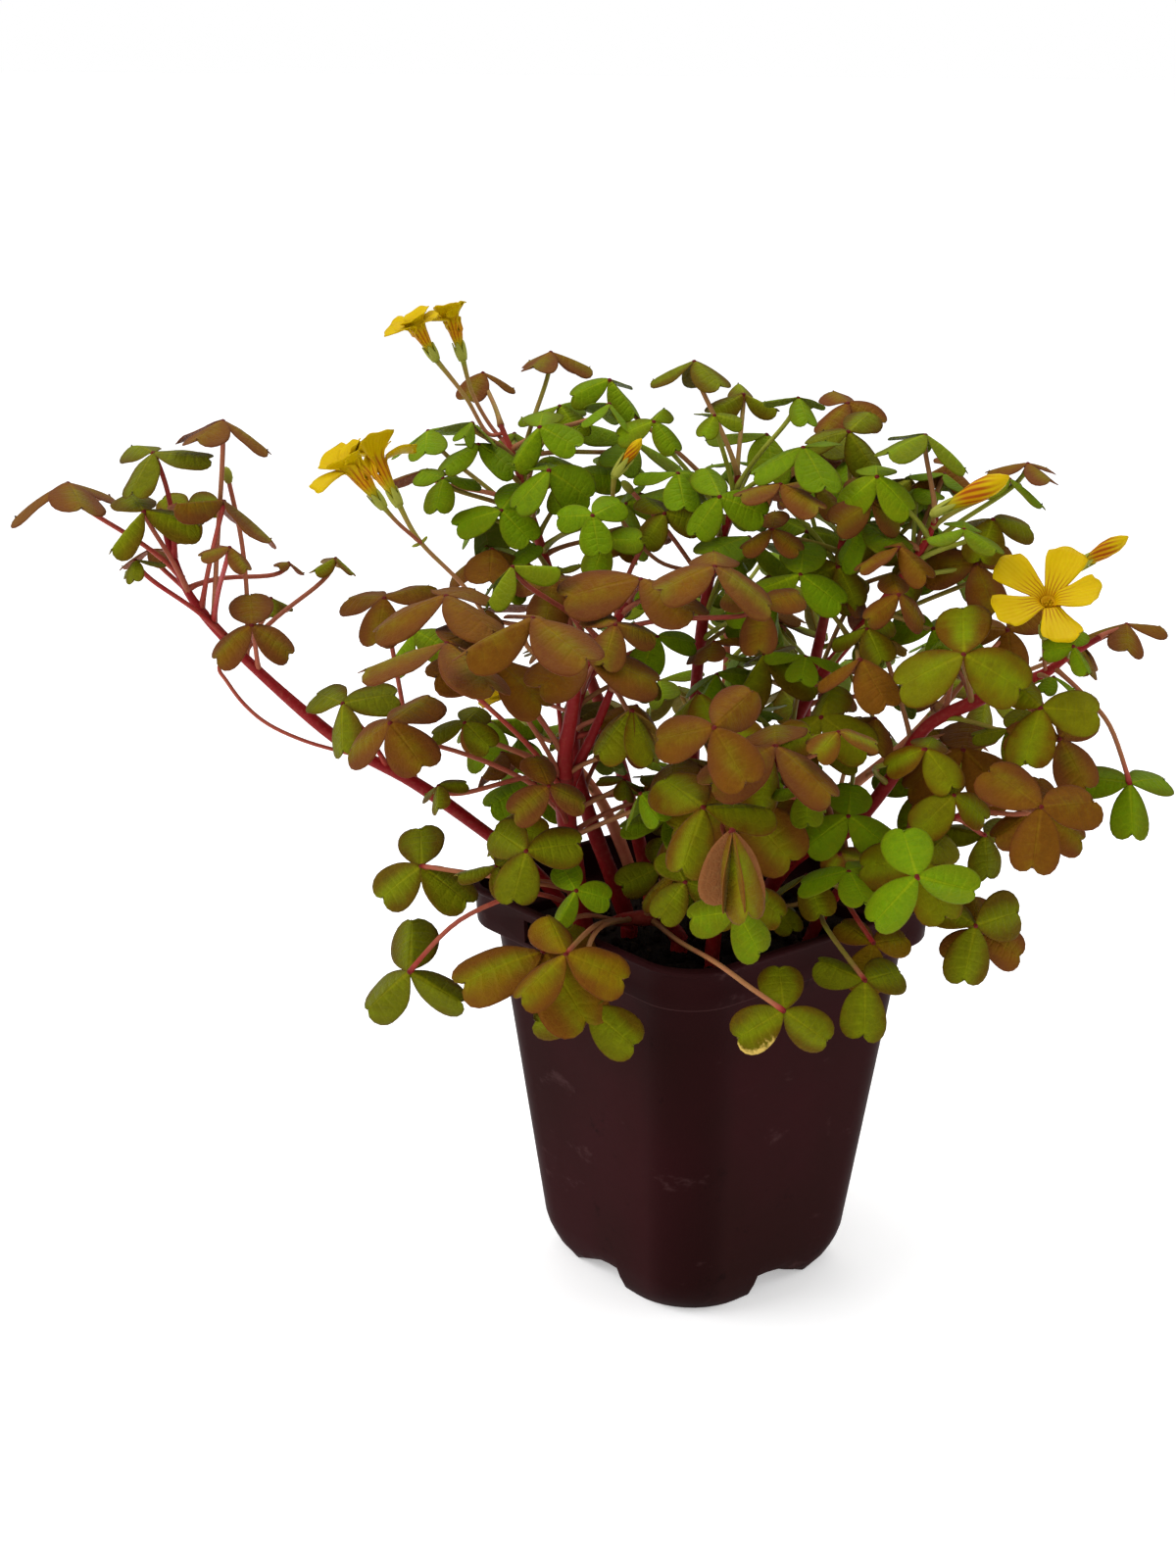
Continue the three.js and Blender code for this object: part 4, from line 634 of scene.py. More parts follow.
def young_leaves(stems, leaves, fixed):
    """Adds the young leaves where they cross nothing, below the crown of their stem."""
    rng = np.random.default_rng(31)
    low_corner, high_corner = np.array(cad_box) / MM
    for index, low, high, tries, reach in YOUNG:
        stem = stems[index]
        grown = [leaf.hub[2] for leaf in stem["leaves"]]
        crown, shades = max(grown) - 3, [leaf.shade for leaf in stem["leaves"]]
        for _ in range(tries):
            root = stem["limbs"][0].along(rng.uniform(low, high))
            way, out = rng.uniform(0, 2 * math.pi), rng.uniform(8, 40)
            hub = root + np.array([math.cos(way) * out, math.sin(way) * out, rng.uniform(2, 34)])
            size, lean, spin = reach * rng.uniform(0.75, 1.45), rng.uniform(2, 55), rng.uniform(0, 360)
            shade = shades[rng.integers(len(shades))]
            heading = 90 + math.degrees(way) + rng.uniform(-40, 40)
            leaf = Leaf(index, root, hub, size, lean, heading, spin, shade, rng.uniform(6, 30))
            if hub[2] > crown or hub[2] < SOIL_TOP + 16:
                continue
            if np.any(hub - size * 1.1 < low_corner) or np.any(hub + size * 1.1 > high_corner):
                continue
            if Crowd(leaf, leaves, fixed).cost(hub, 0.5):
                continue
            leaf.points = leaf.samples(hub)
            leaves.append(leaf)
            stem["leaves"].append(leaf)


def plant_layout():
    """The stems with their limbs and settled leaves, and the blooms with the ways of their stalks."""
    stems, leaves, fixed = [], [], []
    for index, row in enumerate(STEMS):
        limbs = [Limb(rows, k == 0) for k, rows in enumerate(row["limbs"])]
        mine = [
            Leaf(index, limbs[r[0]].along(r[1]), seen(*r[2:5]), RIB * r[5], *r[6:11],
                 [seen(*p) for p in (r[11] if len(r) > 11 else [])], tuple(r[2:5]))
            for r in row["leaves"]
        ]
        if "fill" in row:
            mine += fill_leaves(row, limbs[0], index)
        leaves += mine
        stems.append({"name": row["name"], "row": row, "limbs": limbs, "leaves": mine})
    blooms = []
    for row in BLOOMS:
        root = stems[row["stem"]]["limbs"][row["limb"]].along(row["at"])
        base, mouth = seen(*row["base"]), seen(*row["mouth"])
        way = [root, *[seen(*p) for p in row["stalk"]], base]
        blooms.append({"row": row, "way": way, "base": base, "dir": unit(mouth - base)})
    for index, stem in enumerate(stems):
        for limb in stem["limbs"]:
            for i in range(len(limb.points) - 1):
                a, b = limb.points[i], limb.points[i + 1]
                count = math.ceil(length(b - a) / 3.5)
                rows = [[*(a * (1 - k / count) + b * (k / count)), limb.radii[i]] for k in range(count + 1)]
                fixed.append((index, np.array(rows)))
    for bloom in blooms:
        for a, b in zip(bloom["way"], bloom["way"][1:]):
            rows = [[*(a * (1 - k / 4) + b * (k / 4)), 0.7] for k in range(1, 5)]
            fixed.append((bloom["row"]["stem"], np.array(rows)))
        size = bloom["row"]["size"]
        rows = [[*(bloom["base"] + bloom["dir"] * ((k / 6) * size)), 1.5 + 0.8 * k] for k in range(7)]
        fixed.append((-1, np.array(rows)))
    settle(leaves, fixed)
    young_leaves(stems, leaves, fixed)
    return stems, blooms


layout_made = {}


def layout():
    """The plant's layout, worked out once for all pieces."""
    if not layout_made:
        layout_made["stems"], layout_made["blooms"] = plant_layout()
    return layout_made["stems"], layout_made["blooms"]


# MESHES


def ring_faces(rings, count):
    """The faces of a closed body of rings, each of count points, with a flat face at both ends."""
    faces = [
        (i * count + k, i * count + (k + 1) % count, (i + 1) * count + (k + 1) % count, (i + 1) * count + k)
        for i in range(rings - 1)
        for k in range(count)
    ]
    last = (rings - 1) * count
    return faces + [tuple(range(count - 1, -1, -1)), tuple(last + k for k in range(count))]


def spun(x, y, turn):
    """A place on the ground, turned about the pot's middle."""
    return x * math.cos(turn) - y * math.sin(turn), x * math.sin(turn) + y * math.cos(turn)


class Gather:
    """Collects closed sheets, tubes and grains into one mesh, in millimetres, with the two
    attributes that the materials read at each point."""

    def __init__(self):
        self.points, self.look, self.vein = [], [], []
        self.faces, self.skins, self.count = [], [], 0

    def add(self, points, faces, skin, look, vein=None):
        points = np.asarray(points, float).reshape(-1, 3)
        look = np.broadcast_to(np.asarray(look, float), points.shape)
        vein = np.broadcast_to(np.asarray((0, 0, 0) if vein is None else vein, float), points.shape)
        self.points.append(points)
        self.look.append(look)
        self.vein.append(vein)
        base = self.count
        self.faces += [tuple(base + k for k in face) for face in faces]
        self.skins += [skin] * len(faces)
        self.count += len(points)

    def sheet(self, grid, thick, skin, look, vein, under=1.0):
        """A thin closed body from a grid of its upper face's points, thick at each point."""
        rows, columns = grid.shape[:2]
        along = np.gradient(grid, axis=0)
        across = np.gradient(grid, axis=1)
        normal = np.cross(along, across)
        size = np.linalg.norm(normal, axis=2, keepdims=True)
        flat = size[..., 0] < 1e-9
        normal = np.where(flat[..., None], 0, normal / np.maximum(size, 1e-12))
        for row in (0, rows - 1):
            beside = 1 if row == 0 else rows - 2
            normal[row][flat[row]] = normal[beside][flat[row]]
        lower = grid - normal * thick[..., None]
        size = rows * columns
        top = [
            (r * columns + c, (r + 1) * columns + c, (r + 1) * columns + c + 1, r * columns + c + 1)
            for r in range(rows - 1)
            for c in range(columns - 1)
        ]
        faces = top + [tuple(size + k for k in reversed(face)) for face in top]
        rim = (
            list(range(columns))
            + [r * columns + columns - 1 for r in range(1, rows)]
            + [(rows - 1) * columns + c for c in range(columns - 2, -1, -1)]
            + [r * columns for r in range(rows - 2, 0, -1)]
        )
        faces += [(a, b, size + b, size + a) for a, b in zip(rim, rim[1:] + rim[:1])]
        below = look.copy()
        below[..., 2] = under
        self.add(
            np.concatenate([grid.reshape(-1, 3), lower.reshape(-1, 3)]), faces, skin,
            np.concatenate([look.reshape(-1, 3), below.reshape(-1, 3)]),
            np.concatenate([vein.reshape(-1, 3)] * 2),
        )

    def tube(self, way, radii, sides, skin, look):
        """A closed tube along the way. look has one row for each point of the way."""
        way, radii = np.asarray(way, float), np.broadcast_to(np.asarray(radii, float), len(way))
        look = np.broadcast_to(np.asarray(look, float), (len(way), 3))
        tangent = np.gradient(way, axis=0)
        tangent /= np.linalg.norm(tangent, axis=1, keepdims=True)
        side = np.array([0, 0, 1.0]) if abs(tangent[0][2]) < 0.9 else np.array([1.0, 0, 0])
        turns = 2 * np.pi * np.arange(sides) / sides
        rings = []
        for p, t, radius in zip(way, tangent, radii):
            side = unit(side - t * (side @ t))
            other = np.cross(t, side)
            rings.append(p + radius * (np.cos(turns)[:, None] * side + np.sin(turns)[:, None] * other))
        self.add(np.concatenate(rings), ring_faces(len(way), sides), skin, np.repeat(look, sides, axis=0))

    def bowl(self, centre, axis, e1, e2, radius):
        """A shallow cup that closes the throat of an open flower."""
        sides = 20
        rings = [(0.12, -0.9), (0.4, -0.8), (0.75, -0.4), (1, 0.25), (0.97, 0.0), (0.72, -0.65), (0.12, -1.2)]
        points = [
            centre + (e1 * math.cos(a) + e2 * math.sin(a)) * (radius * wide) + axis * rise
            for wide, rise in rings
            for a in 2 * np.pi * np.arange(sides) / sides
        ]
        self.add(points, ring_faces(len(rings), sides), 0, (0.5, 0.45, 0), (0.2, 0.45, 1))

    def ball(self, centre, axis, radius, reach, skin, look, sides=8):
        """A rounded knob, longer or shorter along its axis by the reach."""
        steps = np.radians([-80, -50, -18, 18, 50, 80])
        way = [np.asarray(centre) + unit(np.asarray(axis)) * (reach * math.sin(a)) for a in steps]
        self.tube(way, [radius * math.cos(a) for a in steps], sides, skin, look)

    def build(self, name, skins):
        """The mesh object, with its materials in the order of skins."""
        mesh = bpy.data.meshes.new(name)
        points = np.concatenate(self.points) * MM
        mesh.from_pydata(points.tolist(), [], self.faces)
        mesh.polygons.foreach_set("material_index", self.skins)
        mesh.polygons.foreach_set("use_smooth", [True] * len(self.faces))
        for title, rows in (("look", self.look), ("vein", self.vein)):
            layer = mesh.attributes.new(title, "FLOAT_VECTOR", "POINT")
            layer.data.foreach_set("vector", np.concatenate(rows).astype(np.float32).ravel())
        for skin in skins:
            mesh.materials.append(skin)
        work = bmesh.new()
        work.from_mesh(mesh)
        bmesh.ops.remove_doubles(work, verts=work.verts, dist=1e-7)
        bmesh.ops.recalc_face_normals(work, faces=work.faces)
        work.to_mesh(mesh)
        work.free()
        mesh.update()
        piece = bpy.data.objects.new(name, mesh)
        bpy.context.scene.collection.objects.link(piece)
        return piece


def stand_in(piece, node):
    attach(piece, "root")
    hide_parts(node)


# LEAVES

# half of a leaflet's outline for a rib 1 long, from its foot to the notch at its tip
OUTLINE = [
    (0, 0), (0.035, 0.07), (0.15, 0.205), (0.32, 0.345), (0.53, 0.437), (0.74, 0.466), (0.90, 0.435),
    (1.02, 0.352), (1.078, 0.24), (1.08, 0.13), (1.048, 0.045), (1.0, 0),
]
ACROSS = [-1, -0.86, -0.55, -0.2, 0, 0.2, 0.55, 0.86, 1]
RIB_PLACES = [0.02, 0.09, 0.18, 0.28, 0.38, 0.48, 0.57, 0.66, 0.74, 0.81, 0.87, 0.93, 0.97, 1.0]


def outline_points():
    """Points of the half outline, one for each place along the rib."""
    fine = np.array(smooth([np.array([u, v, 0.0]) for u, v in OUTLINE], 8))[:, :2]
    step = np.concatenate([[0], np.cumsum(np.linalg.norm(np.diff(fine, axis=0), axis=1))])
    share = step / step[-1]
    places = np.linspace(0.02, 1, len(RIB_PLACES))
    return np.stack([np.interp(places, share, fine[:, 0]), np.interp(places, share, fine[:, 1])], axis=1)


def turned(axis, degrees, *ways):
    """The ways turned about the axis."""
    a = math.radians(degrees)
    c, s = math.cos(a), math.sin(a)
    return [w * c + np.cross(axis, w) * s + axis * (axis @ w) * (1 - c) for w in ways]


def leaflet_grid(leaf, lobe, rng, sizes, loose):
    """The upper face of a leaflet, turned off its plain place by as much as loose says."""
    out, side, up = lobe
    out, up = turned(side, rng.normal(2, 7) * loose, out, up)
    side, up = turned(out, rng.normal(0, 10) * loose, side, up)
    out, side = turned(up, rng.normal(0, 4) * loose, out, side)
    size = leaf.size * rng.uniform(0.9, 1.03 + 0.02 * loose)
    margin = outline_points()
    ribs = np.array(RIB_PLACES)[:, None]
    w = abs(np.array(ACROSS))[None, :]
    sign = np.sign(np.array(ACROSS))[None, :]
    u = ribs + (margin[:, :1] - ribs) * w
    v = sign * margin[:, 1:] * w
    u = u * (1 + rng.normal(0, 0.02) * loose * sign * w)
    fold = math.degrees(sizes.fold) * rng.uniform(0.7, 1.7)
    fold += rng.uniform(14, 30) if rng.uniform() < 0.2 else 0
    fold = SHUT_FOLD if leaf.droop > STEEP else fold
    h = -math.sin(math.radians(fold)) * (np.sqrt(v * v + 0.0016) - 0.04) - rng.uniform(0.02, 0.2) * u * u
    v = v * math.cos(math.radians(fold))
    wave = rng.uniform(0.006, 0.018)
    pace, phase = rng.uniform(7, 12), rng.uniform(0, 6.28)
    h = h + wave * np.sin(pace * u + phase + 1.6 * sign) * w**2
    h = h + rng.normal(0, 0.02) * np.maximum(0, u - 0.7) ** 2 * 4
    h = h - 0.010 * np.cos(2 * np.pi * 6.5 * ribs) * w * (1 - w) * 1.6
    grid = leaf.hub + (
        (u * size)[..., None] * out + (v * size)[..., None] * side + (h * size - 0.05)[..., None] * up
    )
    return grid, ribs, v, w


def leaflet(gather, leaf, lobe, rng, sizes):
    """One leaflet: folded along its rib, arched, its margin a little waved."""
    loose = 1.0
    grid, ribs, v, w = leaflet_grid(leaf, lobe, rng, sizes, loose)
    low, high = np.array(cad_box) / MM
    while loose > 0.1 and (np.any(grid < low) or np.any(grid > high)):
        loose *= 0.6
        grid, ribs, v, w = leaflet_grid(leaf, lobe, rng, sizes, loose)
    thick = np.broadcast_to(sizes.thickness / MM * (1 - 0.62 * w**2), v.shape)
    vary = min(1, max(0, leaf.vary + rng.normal(0, 0.14)))
    shape = v.shape
    look = np.stack([np.full(shape, leaf.shade / 5), np.full(shape, vary), np.zeros(shape)], axis=2)
    vein = np.stack(
        [np.broadcast_to(ribs, shape), np.broadcast_to(v, shape), np.broadcast_to(w, shape)], axis=2
    )
    gather.sheet(grid, thick, 0, look, vein)


def leaf_body(gather, leaf, rng, sizes, red):
    leaf.vary = rng.uniform(0.05, 0.95)
    for lobe in leaf.lobes:
        leaflet(gather, leaf, lobe, rng, sizes)
    way = leaf.stalk(leaf.hub, 14)
    way[-1] = leaf.hub - leaf.n * 0.75
    way = np.array(way)
    t = np.linspace(0, 1, len(way))
    radii = sizes.stalk / MM * (1 + 0.6 * np.exp(-t * 14) + 0.35 * np.maximum(0, t - 0.93) / 0.07)
    tone = red + (0.9 - red) * (np.maximum(0, t - 0.8) / 0.2) ** 2 * 0.8
    look = np.stack([tone, np.full(len(way), rng.uniform(0, 1)), t], axis=1)
    gather.tube(way, radii, 7, 1, look)
    gather.ball(leaf.hub - leaf.n * 0.5, leaf.n, 0.8 * (0.7 + 0.02 * leaf.size), 0.7, 1, (1.0, 0.2, 1), 9)


# STEMS

# finish, and how red the limbs and the leaf stalks are, from 0, green, to 1, crimson
SKINS = {
    "stem_left_long": ("leaf_brown", 0.97, 0.6), "stem_front": ("leaf_copper", 0.86, 0.48),
    "stem_second": ("leaf_copper", 0.97, 0.5), "stem_crown": ("leaf_olive", 0.85, 0.42),
    "stem_right_long": ("leaf_mustard", 0.95, 0.34), "stem_right_mid": ("leaf_green", 0.9, 0.2),
    "stem_back_centre": ("leaf_green", 0.9, 0.16), "stem_back_right": ("leaf_green", 0.85, 0.16),
    "stem_back_left": ("leaf_green", 0.8, 0.24), "stem_low_right": ("leaf_mustard", 0.85, 0.4),
    "stem_front_centre": ("leaf_copper", 0.85, 0.42), "stem_back_low_left": ("leaf_green", 0.5, 0.24),
    "stem_back_low_centre": ("leaf_green", 0.5, 0.2), "stem_back_low_right": ("leaf_green", 0.5, 0.24),
}


# flowers whose stalk leaves that of another one
FORKS = {"bloom_left_outer": "bloom_left_inner"}

# a bare leaf stalk that loops beside its limb
LOOPS = {
    "stem_left_long": [[(-104, 158.5, 6), (-117, 162, 8), (-128, 167, 9), (-135, 173, 10), (-140, 180, 10),
                        (-142, 184, 9), (-139, 189, 7)]],
}


def limb_body(gather, limb, red, rng, foot):
    fine = smooth([np.array([*p, r]) for p, r in zip(limb.points, limb.radii)], 6)
    fine = np.array(fine)
    way, radii = fine[:, :3], fine[:, 3].copy()
    t = np.linspace(0, 1, len(way))
    radii *= 1 + 0.05 * np.sin(t * 40 + rng.uniform(0, 6))
    tip = unit(way[-1] - way[-2])
    way = np.concatenate([way, [way[-1] + tip * radii[-1] * 0.6, way[-1] + tip * radii[-1] * 0.9]])
    radii = np.concatenate([radii, [radii[-1] * 0.75, radii[-1] * 0.3]])
    t = np.concatenate([t, [1, 1]])
    tone = red * (0.82 + 0.18 * (1 - t)) if foot else np.full(len(t), red * 0.9)
    look = np.stack([tone, np.full(len(t), rng.uniform(0, 1)), t], axis=1)
    gather.tube(way, radii, 14, 1, look)


def sepals(gather, base, way, tall, rng):
    """The pale green cup under a bloom: five pointed sepals round a small foot."""
    e1, e2 = cross_axes(way)
    gather.ball(base + way * 0.5, way, 1.1, 1.4, 1, (0.0, 0.6, 0.5), 10)
    for k in range(5):
        turn = math.radians(72 * k + 12)
        rows, columns = 8, 5
        grid = np.zeros((rows, columns, 3))
        for r in range(rows):
            t = r / (rows - 1)
            radius = 0.95 + 0.45 * math.sin(min(1, t * 1.9) * math.pi / 2) + 0.2 * t
            half = 0.7 * math.cos(t * math.pi / 2) ** 0.7 + 0.04
            for c in range(columns):
                a = turn + (c / (columns - 1) * 2 - 1) * half
                out = e1 * math.cos(a) + e2 * math.sin(a)
                grid[r, c] = base + way * (0.2 + tall * t) + out * radius
        look = np.zeros((rows, columns, 3))
        look[..., 0], look[..., 1] = 0.0, rng.uniform(0.3, 1)
        gather.sheet(grid, np.full((rows, columns), 0.35), 1, look, np.zeros((rows, columns, 3)), 0.5)


def bracts(gather, place):
    """The small pointed leaves where the stalks of two flowers part."""
    for way in ((-0.7, -0.2, 0.5), (-0.9, -0.4, -0.3), (0.6, -0.3, 0.7)):
        way = unit(np.array(way))
        gather.ball(place + way * 1.3, way, 0.55, 1.7, 1, (0.1, 0.5, 0.5), 7)


def cross_axes(d):
    """Two directions across d, as the model has them."""
    e1 = unit(np.cross(d, [0, 0, 1.0] if abs(d[2]) < 0.9 else [0, 1.0, 0]))
    return e1, np.cross(d, e1)


def stem_piece(stem, blooms, sizes, skins):
    name = stem["name"]
    index = next(i for i, row in enumerate(STEMS) if row["name"] == name)
    rng = np.random.default_rng(500 + index)
    slot, red, stalk_red = SKINS[name]
    gather = Gather()
    for k, limb in enumerate(stem["limbs"]):
        limb_body(gather, limb, red, rng, k == 0)
    for leaf in stem["leaves"]:
        leaf_body(gather, leaf, rng, sizes, min(1, max(0, stalk_red + rng.normal(0, 0.1))))
    for row in stem["row"]["shoots"]:
        way = smooth([stem["limbs"][row[0]].along(row[1]), *[seen(*p) for p in row[2]]], 6)
        gather.tube(way, row[3], 8, 1, (0.45, 0.5, 0.5))
        tip = unit(way[-1] - way[-2])
        gather.ball(way[-1] + tip * 1.6, tip, row[4] * 0.9, 2.6, 1, (0.15, 0.5, 0.5), 8)
    for row in LOOPS.get(name, []):
        way = smooth([seen(*p) for p in row], 5)
        gather.tube(way, 0.6, 7, 1, (0.55, 0.7, 0.5))
    for bloom in blooms:
        if bloom["row"]["stem"] == index:
            way = bloom["way"]
            if bloom["row"]["name"] in FORKS:
                shared = next(b["way"] for b in blooms if b["row"]["name"] == FORKS[bloom["row"]["name"]])
                way = [shared[-2], shared[-2] * 0.4 + way[-1] * 0.6 + np.array([0, 0, -0.6]), way[-1]]
                bracts(gather, shared[-2])
            way = np.array(smooth(way, 8))
            t = np.linspace(0, 1, len(way))
            look = np.stack([0.55 - 0.4 * t, np.full(len(t), 0.5), t], axis=1)
            gather.tube(way, 0.62 + 0.25 * t**6, 8, 1, look)
            sepals(gather, bloom["base"], bloom["dir"], 7.6 if bloom["row"]["kind"] == "bud" else 5.6, rng)
    piece = gather.build(name.replace("stem", "growth"), skins)
    stand_in(piece, name)
    return piece


# FLOWERS

OPEN_TURN = 34
OPEN_NECK = 13.5
# how wide a petal's blade is, and a bud, at places along it
BLADE_WIDTHS = [0, 0.2, 0.45, 0.7, 0.88, 0.96, 1], [0.28, 0.46, 0.72, 0.95, 1, 0.92, 0.7]
BUD_WIDTHS = [0, 0.12, 0.3, 0.55, 0.75, 0.9, 1], [0.03, 0.06, 0.095, 0.135, 0.13, 0.082, 0.014]
# how steeply each petal rises, and how much of its reach it holds out
POSES = {
    "bloom_top_outer": ((16, 1.0), (44, 0.66), (56, 0.62), (20, 0.62), (40, 0.6)),
    "bloom_top_inner": ((36, 0.66), (60, 0.78), (66, 0.66), (64, 0.64), (62, 0.64)),
    "bloom_left_outer": ((46, 0.84), (26, 1.0), (58, 0.72), (66, 0.62), (64, 0.6)),
    "bloom_left_inner": ((40, 0.78), (72, 0.64), (70, 0.66), (38, 1.0), (8, 0.92)),
    "bloom_inner_left": ((44, 0.9), (38, 1.0), (50, 0.9), (44, 1.0), (50, 0.9)),
    "bloom_right_open": ((14, 1.0), (8, 0.98), (22, 0.84), (10, 0.98), (10, 1.0)),
}


def petal(gather, bloom, k):
    """One petal: a strip of the tube below and a flared blade above."""
    d, base, row = bloom["dir"], bloom["base"], bloom["row"]
    e1, e2 = cross_axes(d)
    is_open = row["kind"] == "open"
    reach = row["size"]
    neck, throat = (OPEN_NECK, 1.5) if is_open else (reach * TRUMPET_NECK, reach * 0.13)
    turn = math.radians(72 * k + (OPEN_TURN if is_open else 20))
    lift, held = POSES[row["name"]][k]
    lift = math.radians(lift)
    blade = reach * (OPEN_BLADE if is_open else TRUMPET_BLADE)
    rng = np.random.default_rng(900 + 7 * k + int(reach * 10))
    rows, columns = 20, 11
    grid = np.zeros((rows, columns, 3))
    look, vein = np.zeros((rows, columns, 3)), np.zeros((rows, columns, 3))
    mid = e1 * math.cos(turn) + e2 * math.sin(turn)
    side = unit(np.cross(d, mid))
    wave, phase = rng.uniform(0.02, 0.05), rng.uniform(0, 6.28)
    way = []
    low, high = PETAL_FOOT + neck * 0.35, PETAL_FOOT + neck * 0.75
    for h, r in ((PETAL_FOOT + 0.1, 0.8), (low, throat * 0.52), (high, throat * 0.8)):
        way.append(base + d * h + mid * r)
    hub = base + d * (PETAL_FOOT + neck)
    f = mid * math.cos(lift) + d * math.sin(lift)
    up = d * math.cos(lift) - mid * math.sin(lift)
    for u in (0.12, 0.38, 0.66, 1.0):
        sag = 0.05 * u if is_open else -0.16 * u * u
        way.append(hub + f * (u * blade * held * 1.02 + (throat * 0.7) * (1 - u)) + up * sag * blade)
    fine = np.array(smooth(way, 6))
    step = np.concatenate([[0], np.cumsum(np.linalg.norm(np.diff(fine, axis=0), axis=1))])
    share = step / step[-1]
    places = np.linspace(0, 1, rows)
    centre = np.stack([np.interp(places, share, fine[:, i]) for i in range(3)], axis=1)
    tangent = np.gradient(centre, axis=0)
    tangent /= np.linalg.norm(tangent, axis=1, keepdims=True)
    begin = neck / (neck + blade)
    for r, t in enumerate(places):
        inward = unit(np.cross(side, tangent[r]))
        if inward @ d < 0:
            inward = -inward
        radius = max(0.5, length(centre[r] - base - d * ((centre[r] - base) @ d)))
        if t < begin:
            half = radius * 0.70
            bend = radius
        else:
            u = (t - begin) / (1 - begin)
            wide = 0.345 if is_open else 0.42
            half = blade * wide * np.interp(u, *BLADE_WIDTHS)
            half = max(half, throat * 0.7 * (1 - u))
            bend = radius * (1 + 2.5 * u) + 1.0
        for c in range(columns):
            x = c / (columns - 1) * 2 - 1
            a = x * min(1.45, half / bend)
            p = centre[r] + side * (bend * math.sin(a)) + inward * (bend * (1 - math.cos(a)) * 0.8)
            if t > begin:
                u = (t - begin) / (1 - begin)
                p = p + up * (wave * blade * math.sin(5 * u + 3 * x + phase) * u * abs(x))
                p = p + f * (blade * (0.03 - 0.07 * x**4 + 0.02 * math.sin(4 * x + phase)) * (u**6))
                p = p - up * (0.05 * blade * x * u) * (1 if not is_open else 0.6)
            else:
                p = p + (centre[r] - base - d * ((centre[r] - base) @ d)) * (0.07 * x)
            grid[r, c] = p
            look[r, c] = (0.5 + 0.5 * x, t, 0)
            vein[r, c] = (x, t, 1 if is_open else 0)
    gather.sheet(grid, np.full((rows, columns), PETAL_THICK), 0, look, vein)


def bud(gather, bloom):
    """A closed bud: petals wrapped round each other in a slow twist."""
    d, base, reach = bloom["dir"], bloom["base"], bloom["row"]["size"]
    e1, e2 = cross_axes(d)
    rows, sides = 22, 60
    points, look, vein = [], [], []
    for r in range(rows):
        t = r / (rows - 1)
        h = PETAL_FOOT + (reach - 0.3) * t
        radius = reach * np.interp(t, *BUD_WIDTHS)
        for k in range(sides):
            a = 2 * math.pi * k / sides
            ridge = 0.96 + 0.16 * t * abs(math.sin(2.5 * (a - 1.9 * t)))
            w = a + 0.2
            p = base + d * h + (e1 * math.cos(w) + e2 * math.sin(w)) * (radius * ridge)
            wrap = math.sin(5 * (a - 1.9 * t))
            points.append(p)
            look.append((0.2 + 0.2 * wrap, t, 1))
            vein.append((wrap, 0.78 * t, 0))
    gather.add(points, ring_faces(rows, sides), 0, look, vein)


def bloom_piece(bloom, skins):
    gather = Gather()
    row = bloom["row"]
    if row["kind"] == "bud":
        bud(gather, bloom)
    else:
        for k in range(5):
            petal(gather, bloom, k)
        d, base = bloom["dir"], bloom["base"]
        e1, e2 = cross_axes(d)
        neck, rise = (OPEN_NECK, 1.2) if row["kind"] == "open" else (row["size"] * TRUMPET_NECK, -2)
        for k in range(6):
            a = math.radians(60 * k + 8)
            r = 0.0 if k == 5 else 1.0
            out = (e1 * math.cos(a) + e2 * math.sin(a)) * r
            middle = base + d * (neck * 0.6) + out * 0.7
            way = [base + d * 3 + out * 0.3, middle, base + d * (neck + rise) + out]
            gather.tube(smooth(way, 3), 0.22, 6, 0, (0.5, 0.45, 0))
            gather.ball(way[-1], d, 0.5, 0.75, 0, (0.5, 0.6, 0), 7)
        if row["kind"] == "open":
            gather.bowl(base + d * (neck + 1.9), d, e1, e2, 2.0)
    piece = gather.build(row["name"].replace("bloom", "flower"), skins)
    stand_in(piece, row["name"])
    return piece


# POT AND SOIL


def ramp_up(x):
    """A smooth rise from 0 to 1 while x does the same."""
    x = min(1, max(0, x))
    return x * x * (3 - 2 * x)


def body_half(z):
    """Half the body's width at a height, from the top of the foot to just under the rim."""
    share = (z - FOOT_TOP) / (POT_HEIGHT - RIM_HEIGHT - FOOT_TOP - 1)
    return FOOT_TOP_HALF + (BODY_HALF - FOOT_TOP_HALF) * share


def round_square(half, corner, steps, flats=()):
    """A ring of points round a square with round corners, and some on its flat sides."""
    ring, c = [], half - corner
    for q in range(4):
        turn = math.pi / 2 * q
        arc = [math.pi / 2 * k / steps for k in range(steps + 1)]
        side = [(c + corner * math.cos(a), c + corner * math.sin(a)) for a in arc]
        side += [(-place * c, half) for place in flats]
        ring += [spun(x, y, turn) for x, y in side]
    return ring


def side_places(half, corner):
    """Places along a side of the pot's ring, from the middle of one corner to that of the next."""
    c = half - corner
    end = c + corner * math.sqrt(0.5)
    low, high = NOTCH_ASIDE - NOTCH_WIDTH / 2, NOTCH_ASIDE + NOTCH_WIDTH / 2
    shrink = min(1, (end - 0.8) / (high + 0.4))
    marks = [
        shrink * p
        for p in (low, low + 0.7, low + 1.4, low + 5, low + 9, low + 13, high - 7, high - 4, high - 1.5, high)
    ]

    def bend(start):
        first = math.asin(max(0, (start + 0.4 - c) / corner))
        return [c + corner * math.sin(first + (math.pi / 4 - first) * k / 5) for k in range(6)]

    return [-p for p in reversed(bend(-marks[0]))] + marks + bend(marks[-1])


